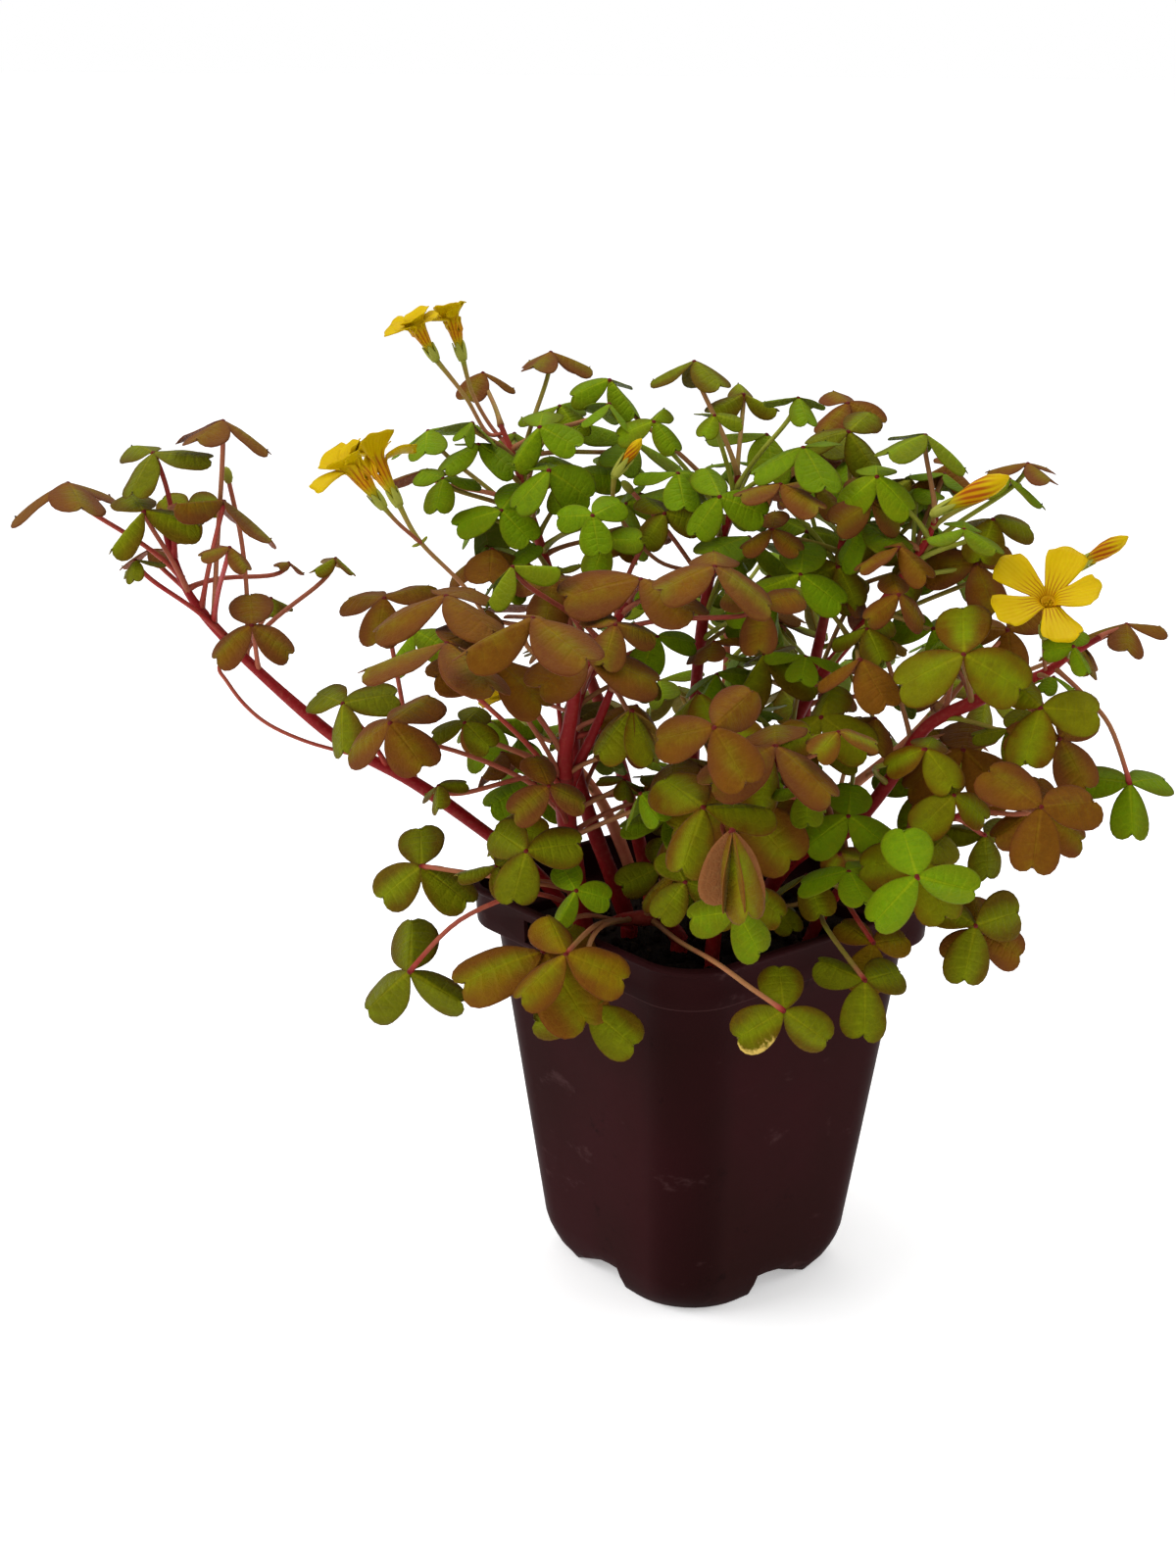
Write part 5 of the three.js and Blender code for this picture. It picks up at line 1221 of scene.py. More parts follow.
def foot_side(half, corner, q, z):
    """A quarter of the pot's ring, raised over the notch: steep by the wide foot, sloped by the other."""
    c = half - corner
    places = side_places(half, corner)
    low, high = places[6], places[15]
    side = []
    for p in places:
        slope = min(1, max(0, (high - p) / NOTCH_SLOPE))
        arch = ramp_up((p - low) / NOTCH_STEP) * slope * ramp_up((half - 19.6) / 1.6)
        y = c + math.sqrt(corner**2 - max(0, abs(p) - c) ** 2)
        side.append((-p, y, max(z, NOTCH_HEIGHT * arch)))
    if q % 2:
        side = [(-x, y, h) for x, y, h in reversed(side)]
    a = math.radians(POT_TURN + 90 * q)
    return [(*spun(x, y, a), h) for x, y, h in side[:-1]]


def pot_mesh():
    """The pot as one ring after another, from the middle of its foot up the outside and down the inside."""
    top, rim = POT_HEIGHT, POT_HEIGHT - RIM_HEIGHT
    profile = [
        (18, 4, 0), (20, 5, 0), (22, 6, 0), (32.2, 20, 0), (33, 20.5, 0.15), (33.4, 20.5, 0.7),
        (34.8, 18, 3.4), (35.6, 16.5, 6), (36.4, 16, 8.6), (FOOT_TOP_HALF, 16, FOOT_TOP),
    ]
    for k in range(1, 9):
        z = FOOT_TOP + (rim - 1 - FOOT_TOP) * k / 8
        profile.append((body_half(z), 16, z))
    profile += [
        (47.7, 16, rim - 0.6), (48.6, 16, rim - 0.3), (51.2, 16, rim + 0.1), (51.75, 16, rim + 0.4),
        (52.0, 16, rim + 1), (52.2, 16, rim + 5), (52.45, 16, top - 2.6), (52.7, 16, top - 2.1),
        (53.3, 16, top - 1.7), (53.5, 16, top - 1.3), (53.5, 16, top - 0.6), (53.2, 16, top - 0.15),
        (52.7, 16, top), (51.7, 15.4, top), (51.2, 15, top - 0.5), (51.0, 15, top - 4), (50.9, 15, rim + 2.6),
        (50.3, 15, rim + 1.8), (46.9, 15, rim + 1.0), (46.2, 15, rim + 0.5), (45.8, 15, rim - 2),
        (41.5, 15, 60), (body_half(FOOT_TOP) - WALL, 15, FOOT_TOP + 0.2), (32.3, 14, 7.2), (18, 9, 7.2),
    ]
    points, notched = [], 14
    for i, (half, corner, z) in enumerate(profile):
        for q in range(4):
            side = foot_side(half, corner, q, z)
            points += side if i < notched else [(x, y, z) for x, y, _ in side]
    gather = Gather()
    gather.add(points, ring_faces(len(profile), len(points) // len(profile)), 0, (0, 0, 0))
    return gather


def cut_with(piece, cutters):
    """Cuts the plain blocks out of the piece."""
    for cutter in cutters:
        step = piece.modifiers.new("cut", "BOOLEAN")
        step.operation, step.solver, step.object = "DIFFERENCE", "EXACT", cutter
    bpy.context.view_layer.update()
    whole = bpy.data.meshes.new_from_object(piece.evaluated_get(bpy.context.evaluated_depsgraph_get()))
    piece.modifiers.clear()
    piece.data = whole
    for cutter in cutters:
        bpy.data.objects.remove(cutter)


def block(x, y, z, wide, deep, tall, turn, round_sides=0):
    """A plain block or, with sides, an upright cylinder, as a cutter."""
    gather = Gather()
    if round_sides:
        ring = [
            (x + wide / 2 * math.cos(a), y + wide / 2 * math.sin(a))
            for a in (2 * math.pi * k / round_sides for k in range(round_sides))
        ]
    else:
        ring = [(x + sx * wide / 2, y + sy * deep / 2) for sx, sy in ((1, 1), (-1, 1), (-1, -1), (1, -1))]
    ring = [spun(a, b, math.radians(turn)) for a, b in ring]
    points = [(a, b, level) for level in (z - tall / 2, z + tall / 2) for a, b in ring]
    gather.add(points, ring_faces(2, len(ring)), 0, (0, 0, 0))
    return gather.build("cutter", [])


def soil_mesh(sizes):
    """The soil with its crumbly top, closed all round."""
    rng = np.random.default_rng(12)
    top = POT_HEIGHT - RIM_HEIGHT - 2
    gather = Gather()

    def inside(z):
        return body_half(z) - WALL - 0.5

    rings = [
        (32.0, 15, 7.6, 0), (inside(12.5), 16, 12.6, 0), (inside(60), 16, 60, 0),
        (inside(top - 2), 16, top - 2, 0),
    ]
    for half in (44.2, 43, 40, 36.5, 33, 29.5, 26, 22.5, 19, 15.5, 12, 8.5, 5, 2):
        rings.append((half, max(1.5, 16 * half / 45), top, 1))
    turn, points = math.radians(POT_TURN), []
    for half, corner, z, rough in rings:
        for x, y in round_square(half, corner, 7, (-0.8, -0.5, -0.2, 0.1, 0.4, 0.7)):
            a, b = spun(x, y, turn)
            lump = noise.noise(Vector((a * 0.16, b * 0.16, 3))) * 1.5
            lump += noise.noise(Vector((a * 0.5, b * 0.5, 9))) * 1.1
            points.append((a, b, z + rough * (lump - 0.4)))
    gather.add(points, ring_faces(len(rings), len(points) // len(rings)), 0, (0, 0.5, 0))
    for _ in range(sizes.crumbs):
        a, b = spun(*rng.uniform(-42, 42, 2), turn)
        size = rng.uniform(0.7, 2.4) * rng.uniform(0.6, 1)
        axis = unit(rng.normal(0, 1, 3))
        gather.ball((a, b, top + 0.2 + size * 0.2), axis, size, size * rng.uniform(0.6, 1.2), 0,
                    (0, rng.uniform(0, 1), 0), 6)
    return gather


# MATERIALS


class Wire:
    """A shader socket that can be reckoned with: each sum adds its Math node."""

    def __init__(self, skin, socket):
        self.skin, self.socket = skin, socket

    def reckon(self, operation, *others, **settings):
        links = dict(enumerate((self, *others)))
        return self.skin.node("ShaderNodeMath", {"operation": operation, **settings}, links).first()

    def vector_reckon(self, operation, *others):
        links = dict(enumerate((self, *others)))
        return self.skin.node("ShaderNodeVectorMath", {"operation": operation}, links).first()

    def __add__(self, other):
        return self.reckon("ADD", other)

    def __sub__(self, other):
        return self.reckon("SUBTRACT", other)

    def __rsub__(self, other):
        return self.skin.node("ShaderNodeMath", {"operation": "SUBTRACT"}, {0: other, 1: self}).first()

    def __mul__(self, other):
        return self.reckon("MULTIPLY", other)

    def __truediv__(self, other):
        return self.reckon("DIVIDE", other)

    def __pow__(self, other):
        return self.reckon("POWER", other)

    __radd__, __rmul__ = __add__, __mul__

    def clipped(self):
        return self.reckon("ADD", 0, use_clamp=True)

    def size(self):
        return self.reckon("ABSOLUTE")

    def cosine(self):
        return self.reckon("COSINE")

    def stretched(self, by):
        """A vector with each of its parts taken so many times."""
        return self.vector_reckon("MULTIPLY", by)

    def toward(self, turn):
        """How far a place looks that way from the upright axis: the cosine of the turn between."""
        way = (math.cos(turn), math.sin(turn), 0)
        flat = self.stretched((1, 1, 0)).vector_reckon("NORMALIZE")
        return flat.vector_reckon("DOT_PRODUCT", way)

    def distance(self, point):
        """How far a place is from the point, in metres."""
        return self.vector_reckon("DISTANCE", point)

    def between(self, low, high):
        """0 below low, 1 above high, and a smooth rise from one to the other."""
        settings = {"interpolation_type": "SMOOTHSTEP"}
        return self.skin.node("ShaderNodeMapRange", settings, {0: self, 1: low, 2: high}).first()


class Made:
    """A node that was made, with its outputs as wires."""

    def __init__(self, skin, node):
        self.skin, self.made = skin, node

    def first(self):
        return Wire(self.skin, next(s for s in self.made.outputs if s.enabled))

    def __getitem__(self, name):
        return Wire(self.skin, self.made.outputs[name])


class Nodes:
    """A tree of shader nodes under making."""

    def __init__(self, tree):
        self.tree = tree

    def node(self, kind, settings=None, sockets=None):
        """Adds a node: its settings first, then the values or links of its sockets."""
        made = self.tree.nodes.new(kind)
        for name, value in (settings or {}).items():
            if name == "stops":
                ramp = made.color_ramp
                for k, (place, colour) in enumerate(value):
                    stop = ramp.elements[k] if k < 2 else ramp.elements.new(place)
                    stop.position, stop.color = place, colour
            else:
                setattr(made, name, value)
        for name, value in (sockets or {}).items():
            self.plug(made.inputs[name], value)
        return Made(self, made)

    def plug(self, socket, value):
        if isinstance(value, Wire):
            self.tree.links.new(value.socket, socket)
        else:
            socket.default_value = value


class Skin(Nodes):
    """A material under making."""

    def __init__(self, name):
        self.material = bpy.data.materials.new(name)
        self.material.use_nodes = True
        super().__init__(self.material.node_tree)
        self.shader = next(n for n in self.tree.nodes if n.type == "BSDF_PRINCIPLED")

    def attribute(self, name):
        """The three parts of an attribute of the mesh."""
        found = self.node("ShaderNodeAttribute", {"attribute_name": name})
        parts = self.node("ShaderNodeSeparateXYZ", {}, {0: found["Vector"]})
        return parts["X"], parts["Y"], parts["Z"]

    def place(self):
        return self.node("ShaderNodeTexCoord")["Object"]

    def noise(self, scale, detail=3.0, roughness=0.55, place=None):
        sockets = {"Vector": place or self.place(), "Scale": scale, "Detail": detail, "Roughness": roughness}
        return self.node("ShaderNodeTexNoise", {}, sockets)[0]

    def ramp(self, factor, stops):
        stops = [(place, colour_of(colour)) for place, colour in stops]
        return self.node("ShaderNodeValToRGB", {"stops": stops}, {"Fac": factor})["Color"]

    def mix(self, factor, a, b, blend="MIX"):
        a, b = (v if isinstance(v, Wire) else colour_of(v) for v in (a, b))
        settings = {"data_type": "RGBA", "blend_type": blend}
        return self.node("ShaderNodeMix", settings, {0: factor, 6: a, 7: b}).first()

    def finish(self, varying, plain, bump=None):
        for name, value in varying.items():
            self.plug(self.shader.inputs[name], value)
        for name, value in plain.items():
            self.shader.inputs[name].default_value = value
        if bump:
            height, strength, distance = bump
            sockets = {"Height": height, "Strength": strength, "Distance": distance}
            made = self.node("ShaderNodeBump", {}, sockets)
            self.plug(self.shader.inputs["Normal"], made["Normal"])
        return self.material


def colour_of(rgb):
    """A colour, given as it is seen from 0 to 255 or as a linear property, in linear light."""
    rgb = tuple(rgb)[:3]
    if max(rgb) > 1.0:
        rgb = tuple(((c / 255 + 0.055) / 1.055) ** 2.4 if c > 10 else c / 255 / 12.92 for c in rgb)
    return (*rgb, 1.0)


# the tip of a leaflet that something has chewed, at the front of the pot
WORN_TIP = (0.0160, -0.0803, 0.1020)


def leaf_skin(tones, name, sheen):
    skin = Skin(name)
    shade, vary, under = skin.attribute("look")
    along, across, w = skin.attribute("vein")
    coarse, fine, speck = skin.noise(60, 3.0), skin.noise(330, 5.0, 0.7), skin.noise(1100, 2.0)
    net = skin.node("ShaderNodeTexVoronoi", {"feature": "DISTANCE_TO_EDGE"},
                    {"Vector": skin.place(), "Scale": 620.0})["Distance"]
    net = 1 - net.between(0.0, 0.16)
    heart = skin.ramp(shade, [(0, tones.brown), (0.2, tones.copper), (0.4, tones.mustard),
                              (0.6, tones.olive), (0.8, tones.green), (1, tones.bright)])
    edge = skin.ramp(shade, [(0, (98, 52, 20)), (0.2, (102, 58, 10)), (0.4, (92, 58, 0)),
                             (0.6, (82, 62, 0)), (0.8, (86, 98, 0)), (1, (96, 116, 0))])
    ribs = ((along * (2 * math.pi * 6.5)).cosine() * 0.5 + 0.5) ** 6 * (1 - w.between(0.2, 0.9))
    middle = 1 - (across.size() / (1.08 - along)).between(0.008, 0.05)
    green = shade * 0.7 + 0.3
    spread = w * 0.9 + (coarse - 0.5) * 2.2 + (vary - 0.5) * 0.9 + (fine - 0.5) * 0.9
    blotch = (spread - (ribs * 0.14 + middle * 0.2) * green).between(0.1, 0.95)
    colour = skin.mix(blotch, heart, edge)
    near = (1 - (across.size() / 0.3).between(0.05, 1.0)) * along.between(0.05, 0.4)
    patches = (coarse - 0.5) * 2.4 + (fine - 0.5) * 1.6 + 0.42 + (vary - 0.5) * 0.7
    lime = near * (1 - (shade - 0.4).size() * 1.5) * patches
    colour = skin.mix(lime.clipped(), colour, (106, 122, 0))
    tint = (vary - 0.5) * 0.34 + (fine - 0.5) * 0.8 + (coarse - 0.5) * 0.3
    colour = skin.mix(tint.clipped(), colour, skin.mix(1.0, colour, (88, 74, 4), "SCREEN"))
    shadow = skin.mix(1.0, colour, (118, 96, 84), "MULTIPLY")
    colour = skin.mix((tint * -1.0).clipped(), colour, shadow)
    lines = (middle * 0.34 + ribs * 0.10 + net * 0.10) * green
    colour = skin.mix(lines, colour, skin.mix(1.0, colour, (122, 110, 10), "SCREEN"))
    hem = w.between(0.94, 0.99) * 0.5
    colour = skin.mix(hem, colour, skin.mix(0.5, edge, (96, 34, 18)))
    tip = skin.place().distance(WORN_TIP) + (fine - 0.5) * 0.008
    worn = (1 - tip.between(0.0052, 0.0070)) * (w + (fine - 0.5) * 1.4).between(0.62, 0.9)
    colour = skin.mix(worn * 0.9, colour, (206, 174, 88))
    back = skin.ramp(shade, [(0, (112, 62, 42)), (0.2, (124, 76, 40)), (0.4, (118, 90, 30)),
                             (0.6, (100, 88, 26)), (0.8, (94, 108, 22)), (1, (106, 128, 22))])
    raised = ribs * 0.25 + middle * 0.4 + net * 0.12
    back = skin.mix(raised, back, skin.mix(0.4, back, (180, 150, 92)))
    back = skin.mix((fine - 0.4) * 0.5, back, skin.mix(0.4, back, (80, 46, 26)))
    colour = skin.mix(under, colour, back)
    rough = 0.55 + (fine - 0.5) * 0.2 + speck * 0.06
    height = (fine * 0.7 + speck * 0.4) - ribs * 0.8 - middle * 1.6 - net * 0.3
    return skin.finish(
        {"Base Color": colour, "Roughness": rough},
        {"Sheen Weight": sheen, "Sheen Roughness": 0.42, "Sheen Tint": (1.0, 0.86, 0.74, 1.0),
         "Specular IOR Level": 0.05},
        (height, 0.4, 0.0006),
    )


def stalk_skin(tones):
    skin = Skin("stalk")
    red, vary, end = skin.attribute("look")
    coarse, fine = skin.noise(120, 3.0), skin.noise(800, 3.0)
    tone = (red + (coarse - 0.5) * 0.3 + (vary - 0.5) * 0.12).clipped()
    colour = skin.ramp(tone, [(0, (148, 150, 56)), (0.12, (126, 132, 30)), (0.3, (146, 102, 60)),
                              (0.5, (156, 82, 60)),
                              (0.72, (142, 28, 28)), (1, tones.crimson)])
    colour = skin.mix((fine - 0.5) * 0.8, colour, skin.mix(0.3, colour, (220, 170, 130)))
    colour = skin.mix(end.between(0.93, 1.0) * red * 0.7, colour, (72, 16, 8))
    return skin.finish(
        {"Base Color": colour, "Roughness": 0.4 + fine * 0.18},
        {"Specular IOR Level": 0.14},
        (fine, 0.25, 0.0004),
    )


def petal_skin(tones):
    skin = Skin("petal")
    across, _, back = skin.attribute("look")
    x, t, is_open = skin.attribute("vein")
    fine = skin.noise(350, 3.0)
    stripe = ((across * (2 * math.pi * 2.5)).cosine() * 0.5 + 0.5) ** 3
    colour = skin.mix((fine - 0.5) * 0.9 + 0.25, tones.petal, (196, 172, 0))
    flush = back * t.between(0.18, 0.34) * (1 - t.between(0.42, 0.6))
    colour = skin.mix(flush * (0.25 + fine * 0.5), colour, (184, 104, 4))
    outside = stripe * back * t.between(0.1, 0.3) * (1 - t.between(0.5, 0.74)) * 0.85
    colour = skin.mix(outside, colour, (140, 44, 6))
    lines = ((x * (2 * math.pi * 3) + (fine - 0.5) * 2.5).cosine() * 0.5 + 0.5) ** 5
    throat = lines * (1 - back) * (1 - t.between(0.56, 0.8)) * (0.35 + is_open * 0.6)
    colour = skin.mix(throat, colour, (142, 58, 4))
    colour = skin.mix((1 - t.between(0.42, 0.56)) * is_open * 0.55, colour, (186, 112, 4))
    colour = skin.mix(back * (1 - t.between(0.08, 0.34)) * 0.8, colour, (140, 138, 22))
    return skin.finish(
        {"Base Color": colour, "Roughness": 0.5 + (fine - 0.5) * 0.2},
        {"Subsurface Weight": 0.3, "Subsurface Radius": (0.003, 0.002, 0.0006),
         "Specular IOR Level": 0.06},
        ((across * (2 * math.pi * 9)).cosine() * 0.3 + fine, 0.2, 0.0004),
    )


def pot_skin(tones):
    skin = Skin("pot_plastic")
    coarse, fine, speck = skin.noise(22, 4.0), skin.noise(400, 3.0), skin.noise(2600, 2.0)
    broad = skin.noise(14, 2.0)
    colour = skin.mix(((coarse - 0.4) * 2.6).clipped(), tones.plastic, (38, 17, 16))
    colour = skin.mix(((broad - 0.45) * 3).clipped() * 0.6, colour, (32, 16, 12))
    # painted shade: the rounded corner of the pot that faces the viewer is darkened towards (18, 6, 6), for
    # the shade it lies in between the light on its two sides
    corner = skin.place().toward(math.radians(POT_TURN + 225)).between(0.955, 0.998)
    colour = skin.mix(corner * (0.16 + broad * 0.4), colour, (18, 6, 6))
    # painted highlight: a lighter line, (92, 62, 62), along the step at the foot of the rim, for the light
    # caught by that edge
    up = skin.node("ShaderNodeSeparateXYZ", {}, {0: skin.place()})["Z"]
    edge = 1 - ((up - (POT_HEIGHT - RIM_HEIGHT + 0.2) * MM).size() / (0.6 * MM)).clipped()
    colour = skin.mix(edge * 0.5, colour, (92, 62, 62))
    smudge = skin.noise(46, 5.0, 0.7, skin.place().stretched((1.0, 1.0, 1.9)))
    colour = skin.mix(smudge.between(0.6, 0.74) * 0.5, colour, (74, 50, 50))
    colour = skin.mix(skin.noise(64, 6.0, 0.8).between(0.6, 0.72) * 0.7, colour, (16, 5, 5))
    return skin.finish(
        {"Base Color": colour, "Roughness": 0.44 + (coarse - 0.5) * 0.2 + (fine - 0.5) * 0.1},
        {"Specular IOR Level": 0.011},
        (fine * 0.6 + speck * 0.4, 0.12, 0.0003),
    )


def soil_skin(tones):
    skin = Skin("soil")
    _, vary, _ = skin.attribute("look")
    coarse, fine = skin.noise(180, 5.0, 0.7), skin.noise(1400, 4.0)
    tone = (coarse * 0.7 + vary * 0.35 + (fine - 0.5) * 0.5).clipped()
    colour = skin.ramp(tone, [(0.2, (14, 10, 8)), (0.6, tones.soil), (0.95, (62, 44, 32))])
    return skin.finish(
        {"Base Color": colour, "Roughness": 0.85 + fine * 0.15}, {"Specular IOR Level": 0.08},
        (coarse + fine * 0.5, 0.8, 0.0012),
    )


def floor_skin(tones):
    skin = Skin("floor")
    fine = skin.noise(6, 2.0)
    colour = skin.mix(fine * 0.4, tones.floor, (238, 238, 240))
    return skin.finish({"Base Color": colour, "Roughness": 0.75 + fine * 0.1},
                       {"Specular IOR Level": 0.05, "Emission Color": (1, 1, 1, 1),
                        "Emission Strength": 0.38})


# SETTINGS


def colour_setting(title, text, rgb):
    return FloatVectorProperty(name=title, description=text, subtype="COLOR", size=3, min=0, max=1,
                               default=colour_of(rgb)[:3])


class OxalisPot(bpy.types.PropertyGroup):
    plastic: colour_setting("Plastic", "Colour of the pot", (44, 16, 18))
    drains: IntProperty(name="Drains", description="Holes in the foot of the pot", default=4, min=0, max=4)


class OxalisSoil(bpy.types.PropertyGroup):
    crumbs: IntProperty(name="Crumbs", description="Loose grains on top of the soil", default=420, min=0)
    soil: colour_setting("Soil", "Middle colour of the soil", (30, 21, 16))


class OxalisLeaves(bpy.types.PropertyGroup):
    thickness: FloatProperty(name="Thickness", description="Of a leaflet at its rib", default=0.0005,
                             unit="LENGTH")
    fold: FloatProperty(name="Fold", description="How far a leaflet's halves fall from its rib",
                        default=math.radians(FOLD), subtype="ANGLE")
    stalk: FloatProperty(name="Leaf stalk", description="Radius of a leaf's stalk", default=0.00072,
                         unit="LENGTH")
    brown: colour_setting("Brown", "Heart of the brown leaves", (112, 68, 8))
    copper: colour_setting("Copper", "Heart of the copper leaves", (120, 90, 2))
    mustard: colour_setting("Mustard", "Heart of the mustard leaves", (108, 106, 0))
    olive: colour_setting("Olive", "Heart of the olive leaves", (97, 100, 0))
    green: colour_setting("Green", "Heart of the green leaves", (98, 125, 0))
    bright: colour_setting("Bright green", "Heart of the youngest leaves", (98, 128, 0))
    crimson: colour_setting("Crimson", "Colour of the reddest limbs", (120, 4, 10))


class OxalisFlowers(bpy.types.PropertyGroup):
    petal: colour_setting("Petal", "Colour of the petals", (188, 154, 0))


class OxalisStage(bpy.types.PropertyGroup):
    floor: colour_setting("Floor", "Colour of the floor", (244, 244, 244))
    reach: FloatProperty(name="Floor reach", description="Half the floor's width", default=30.0,
                         unit="LENGTH")


# PIECES


class OXALIS_OT_pot(bpy.types.Operator):
    """Builds the plastic pot over the model's pot"""

    bl_idname = "oxalis.pot"
    bl_label = "Pot"

    def execute(self, context):
        sizes = context.scene.oxalis_pot
        pot = pot_mesh().build("flower_pot", [])
        cutters = [
            block(24.5, 0, 6, 5.2, 5.2, 6, POT_TURN + 90 * k, 24) for k in range(sizes.drains)
        ] + [
            block(LIP_HALF - 1, SLOT_ASIDE, SLOT_UP, 8, SLOT_WIDTH, SLOT_HEIGHT, turn)
            for turn in (POT_TURN + 180, POT_TURN)
        ]
        cut_with(pot, cutters)
        pot.data.materials.clear()
        pot.data.materials.append(pot_skin(sizes))
        pot.data.set_sharp_from_angle(angle=math.radians(38))
        stand_in(pot, "pot")
        return {"FINISHED"}


class OXALIS_OT_soil(bpy.types.Operator):
    """Fills the pot with crumbly soil"""

    bl_idname = "oxalis.soil"
    bl_label = "Soil"

    def execute(self, context):
        sizes = context.scene.oxalis_soil
        soil = soil_mesh(sizes).build("potting_soil", [soil_skin(sizes)])
        stand_in(soil, "soil")
        return {"FINISHED"}


class OXALIS_OT_stems(bpy.types.Operator):
    """Builds every leafy stem with its leaves and the cups of its flowers"""

    bl_idname = "oxalis.stems"
    bl_label = "Leafy stems"

    def execute(self, context):
        sizes = context.scene.oxalis_leaves
        stems, blooms = layout()
        bronze, green = leaf_skin(sizes, "leaf_bronze", 0.05), leaf_skin(sizes, "leaf_green", 0.015)
        stalk = stalk_skin(sizes)
        for stem in stems:
            dark = SKINS[stem["name"]][0] in ("leaf_brown", "leaf_copper")
            stem_piece(stem, blooms, sizes, [bronze if dark else green, stalk])
        return {"FINISHED"}


class OXALIS_OT_flowers(bpy.types.Operator):
    """Builds the flowers and buds"""

    bl_idname = "oxalis.flowers"
    bl_label = "Flowers"

    def execute(self, context):
        scene = context.scene
        skins = [petal_skin(scene.oxalis_flowers), stalk_skin(scene.oxalis_leaves)]
        for bloom in layout()[1]:
            bloom_piece(bloom, skins)
        return {"FINISHED"}


class OXALIS_OT_stage(bpy.types.Operator):
    """Sets the floor, the lights and the camera"""

    bl_idname = "oxalis.stage"
    bl_label = "Stage"

    def execute(self, context):
        sizes, scene = context.scene.oxalis_stage, context.scene
        gather = Gather()
        reach = sizes.reach / MM
        places = [-reach, -900, -300, 0, 300, 900, reach]
        points, wide = [(x, y, -0.05) for y in places for x in places], len(places)
        corners = [r * wide + c for r in range(wide - 1) for c in range(wide - 1)]
        faces = [(k, k + 1, k + wide + 1, k + wide) for k in corners]
        gather.add(points, faces, 0, (0, 0, 0))
        floor = gather.build("floor", [floor_skin(sizes)])
        if floor.data.polygons[0].normal.z < 0:
            floor.data.flip_normals()
        scene.world = bpy.data.worlds.new("studio")
        scene.world.use_nodes = True
        sky = Nodes(scene.world.node_tree)
        ray = sky.node("ShaderNodeLightPath")
        light = ray["Is Camera Ray"] * 0.28 - ray["Is Glossy Ray"] * 0.4 + 0.72
        sky.plug(sky.tree.nodes["Background"].inputs["Strength"], light)
        sky.tree.nodes["Background"].inputs["Color"].default_value = (1, 1, 1, 1)
        lamp("key", (-1.15, -0.5, 1.1), 1.0, 12)
        lamp("fill", (1.15, -0.4, 0.9), 1.1, 2)
        lamp("top", (0.05, 0.45, 1.5), 1.2, 10)
        camera()
        scene.view_settings.view_transform = "Standard"
        return {"FINISHED"}


def lamp(name, place, wide, power):
    light = bpy.data.lights.new(name, "AREA")
    light.shape, light.size, light.energy = "DISK", wide, power
    lit = bpy.data.objects.new(name, light)
    lit.location = place
    lit.rotation_euler = (Vector(place) - Vector((0, 0, 0.12))).to_track_quat("Z", "Y").to_euler()
    bpy.context.scene.collection.objects.link(lit)
    return lit


# the photograph's view: where the aim point shows, and how the camera is held
LENS_PIXELS = 2394
AIM = (0, 0, 120)
AIM_SHOWN = (714.5, 903.5)
TILT = 19.9
ROLL = 1.42
DISTANCE = 700


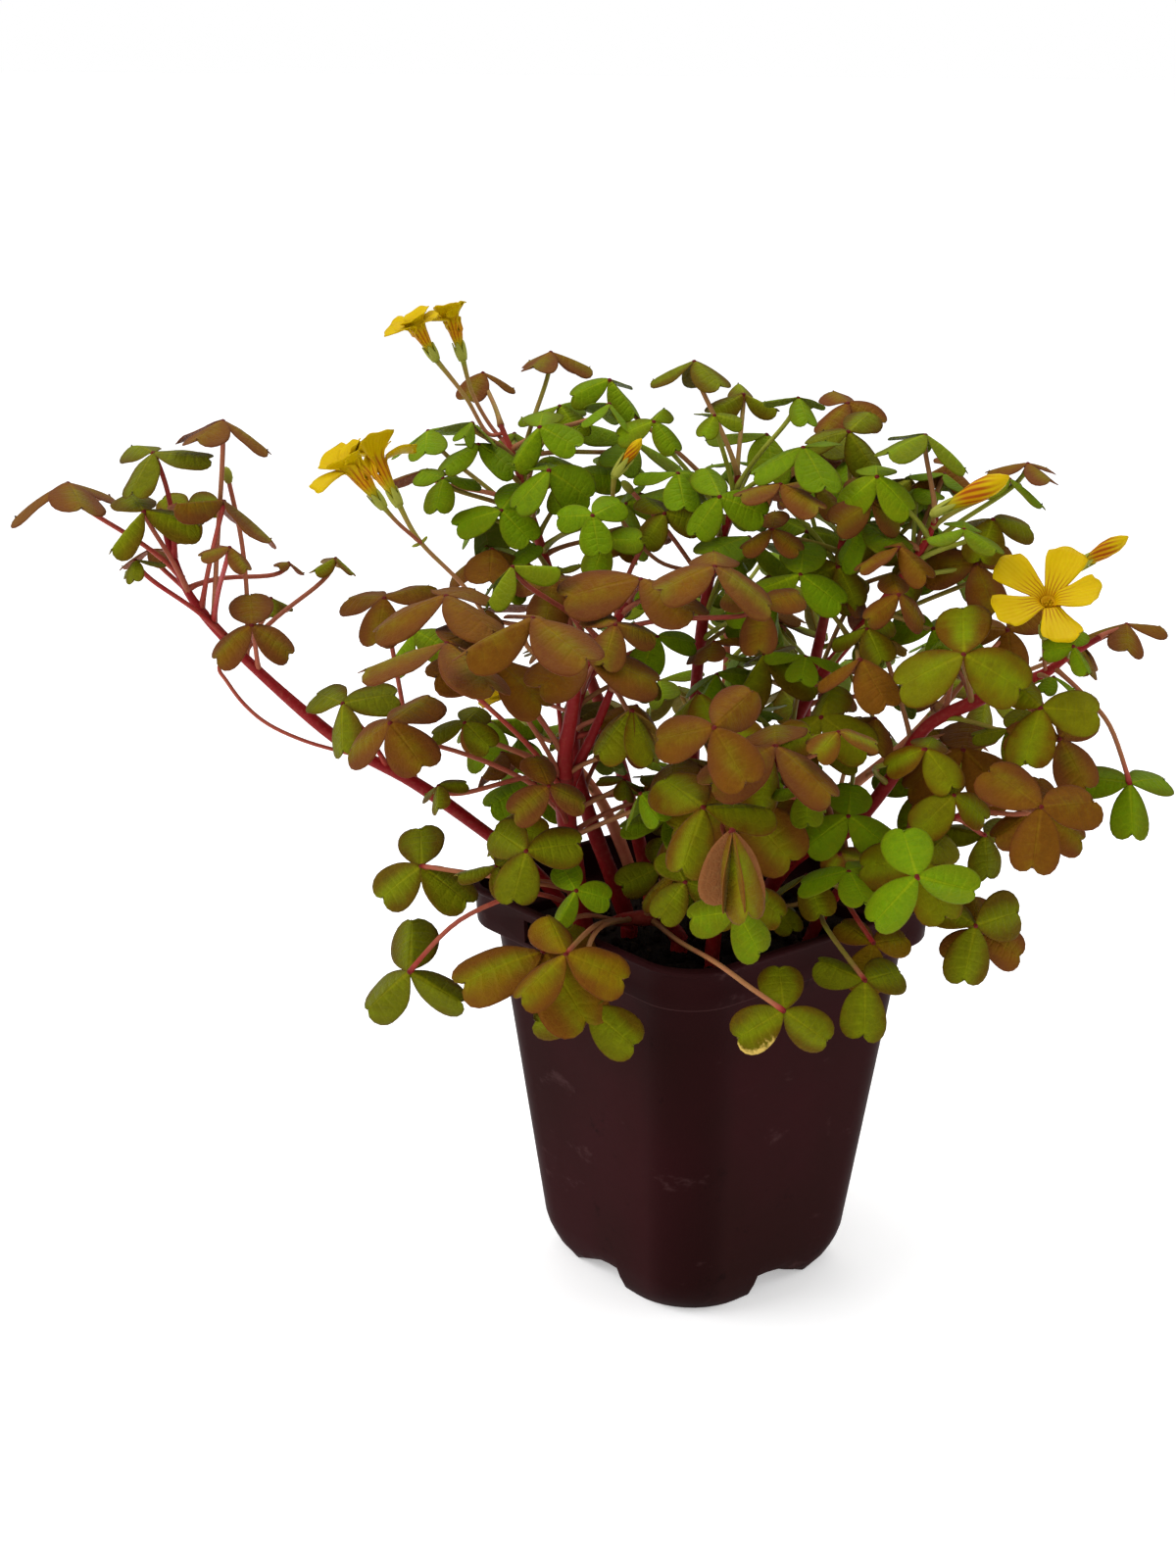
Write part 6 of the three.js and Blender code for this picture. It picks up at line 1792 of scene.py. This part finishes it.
def camera():
    tilt, roll = math.radians(TILT), math.radians(ROLL)
    fwd = np.array([0, math.cos(tilt), -math.sin(tilt)])
    right = np.array([1.0, 0, 0])
    up = np.cross(right, fwd)
    eye = np.array(AIM, float) - fwd * DISTANCE
    right, up = (
        right * math.cos(roll) + up * math.sin(roll),
        up * math.cos(roll) - right * math.sin(roll),
    )
    du, dv = AIM_SHOWN[0] - 600, -(AIM_SHOWN[1] - 800)
    yaw = math.atan2(du, LENS_PIXELS)
    f1 = fwd * math.cos(yaw) - right * math.sin(yaw)
    r1 = right * math.cos(yaw) + fwd * math.sin(yaw)
    pitch = math.atan2(dv * math.cos(yaw), LENS_PIXELS)
    f2 = f1 * math.cos(pitch) - up * math.sin(pitch)
    u2 = up * math.cos(pitch) + f1 * math.sin(pitch)
    lens = bpy.data.cameras.new("viewpoint")
    lens.sensor_fit, lens.sensor_height, lens.sensor_width = "VERTICAL", 36, 36
    lens.lens = LENS_PIXELS / 1600 * 36
    lens.clip_end = 100
    seat = bpy.data.objects.new("viewpoint", lens)
    turned = Matrix([[r1[i], u2[i], -f2[i], eye[i] * MM] for i in range(3)] + [[0, 0, 0, 1]])
    seat.matrix_world = turned
    bpy.context.scene.collection.objects.link(seat)
    bpy.context.scene.camera = seat


class OXALIS_PT_panel(bpy.types.Panel):
    """Lists the pieces of the potted oxalis"""

    bl_label = "Oxalis"
    bl_idname = "OXALIS_PT_panel"
    bl_space_type = "VIEW_3D"
    bl_region_type = "UI"
    bl_category = "Oxalis"

    def draw(self, context):
        for kind in OPERATORS:
            self.layout.operator(kind.bl_idname)
        for name in GROUPS:
            box = self.layout.box()
            settings = getattr(context.scene, name)
            for entry in settings.bl_rna.properties:
                if entry.identifier not in ("rna_type", "name"):
                    box.prop(settings, entry.identifier)


OPERATORS = [OXALIS_OT_pot, OXALIS_OT_soil, OXALIS_OT_stems, OXALIS_OT_flowers, OXALIS_OT_stage]
GROUPS = {
    "oxalis_pot": OxalisPot, "oxalis_soil": OxalisSoil, "oxalis_leaves": OxalisLeaves,
    "oxalis_flowers": OxalisFlowers, "oxalis_stage": OxalisStage,
}


def register():
    for kind in [*GROUPS.values(), *OPERATORS, OXALIS_PT_panel]:
        bpy.utils.register_class(kind)
    for name, kind in GROUPS.items():
        setattr(bpy.types.Scene, name, PointerProperty(type=kind))


def unregister():
    for name in GROUPS:
        delattr(bpy.types.Scene, name)
    for kind in reversed([*GROUPS.values(), *OPERATORS, OXALIS_PT_panel]):
        bpy.utils.unregister_class(kind)


def main():
    register()
    bpy.ops.oxalis.pot()
    bpy.ops.oxalis.soil()
    bpy.ops.oxalis.stems()
    bpy.ops.oxalis.flowers()
    bpy.ops.oxalis.stage()


if __name__ == "__main__":
    main()
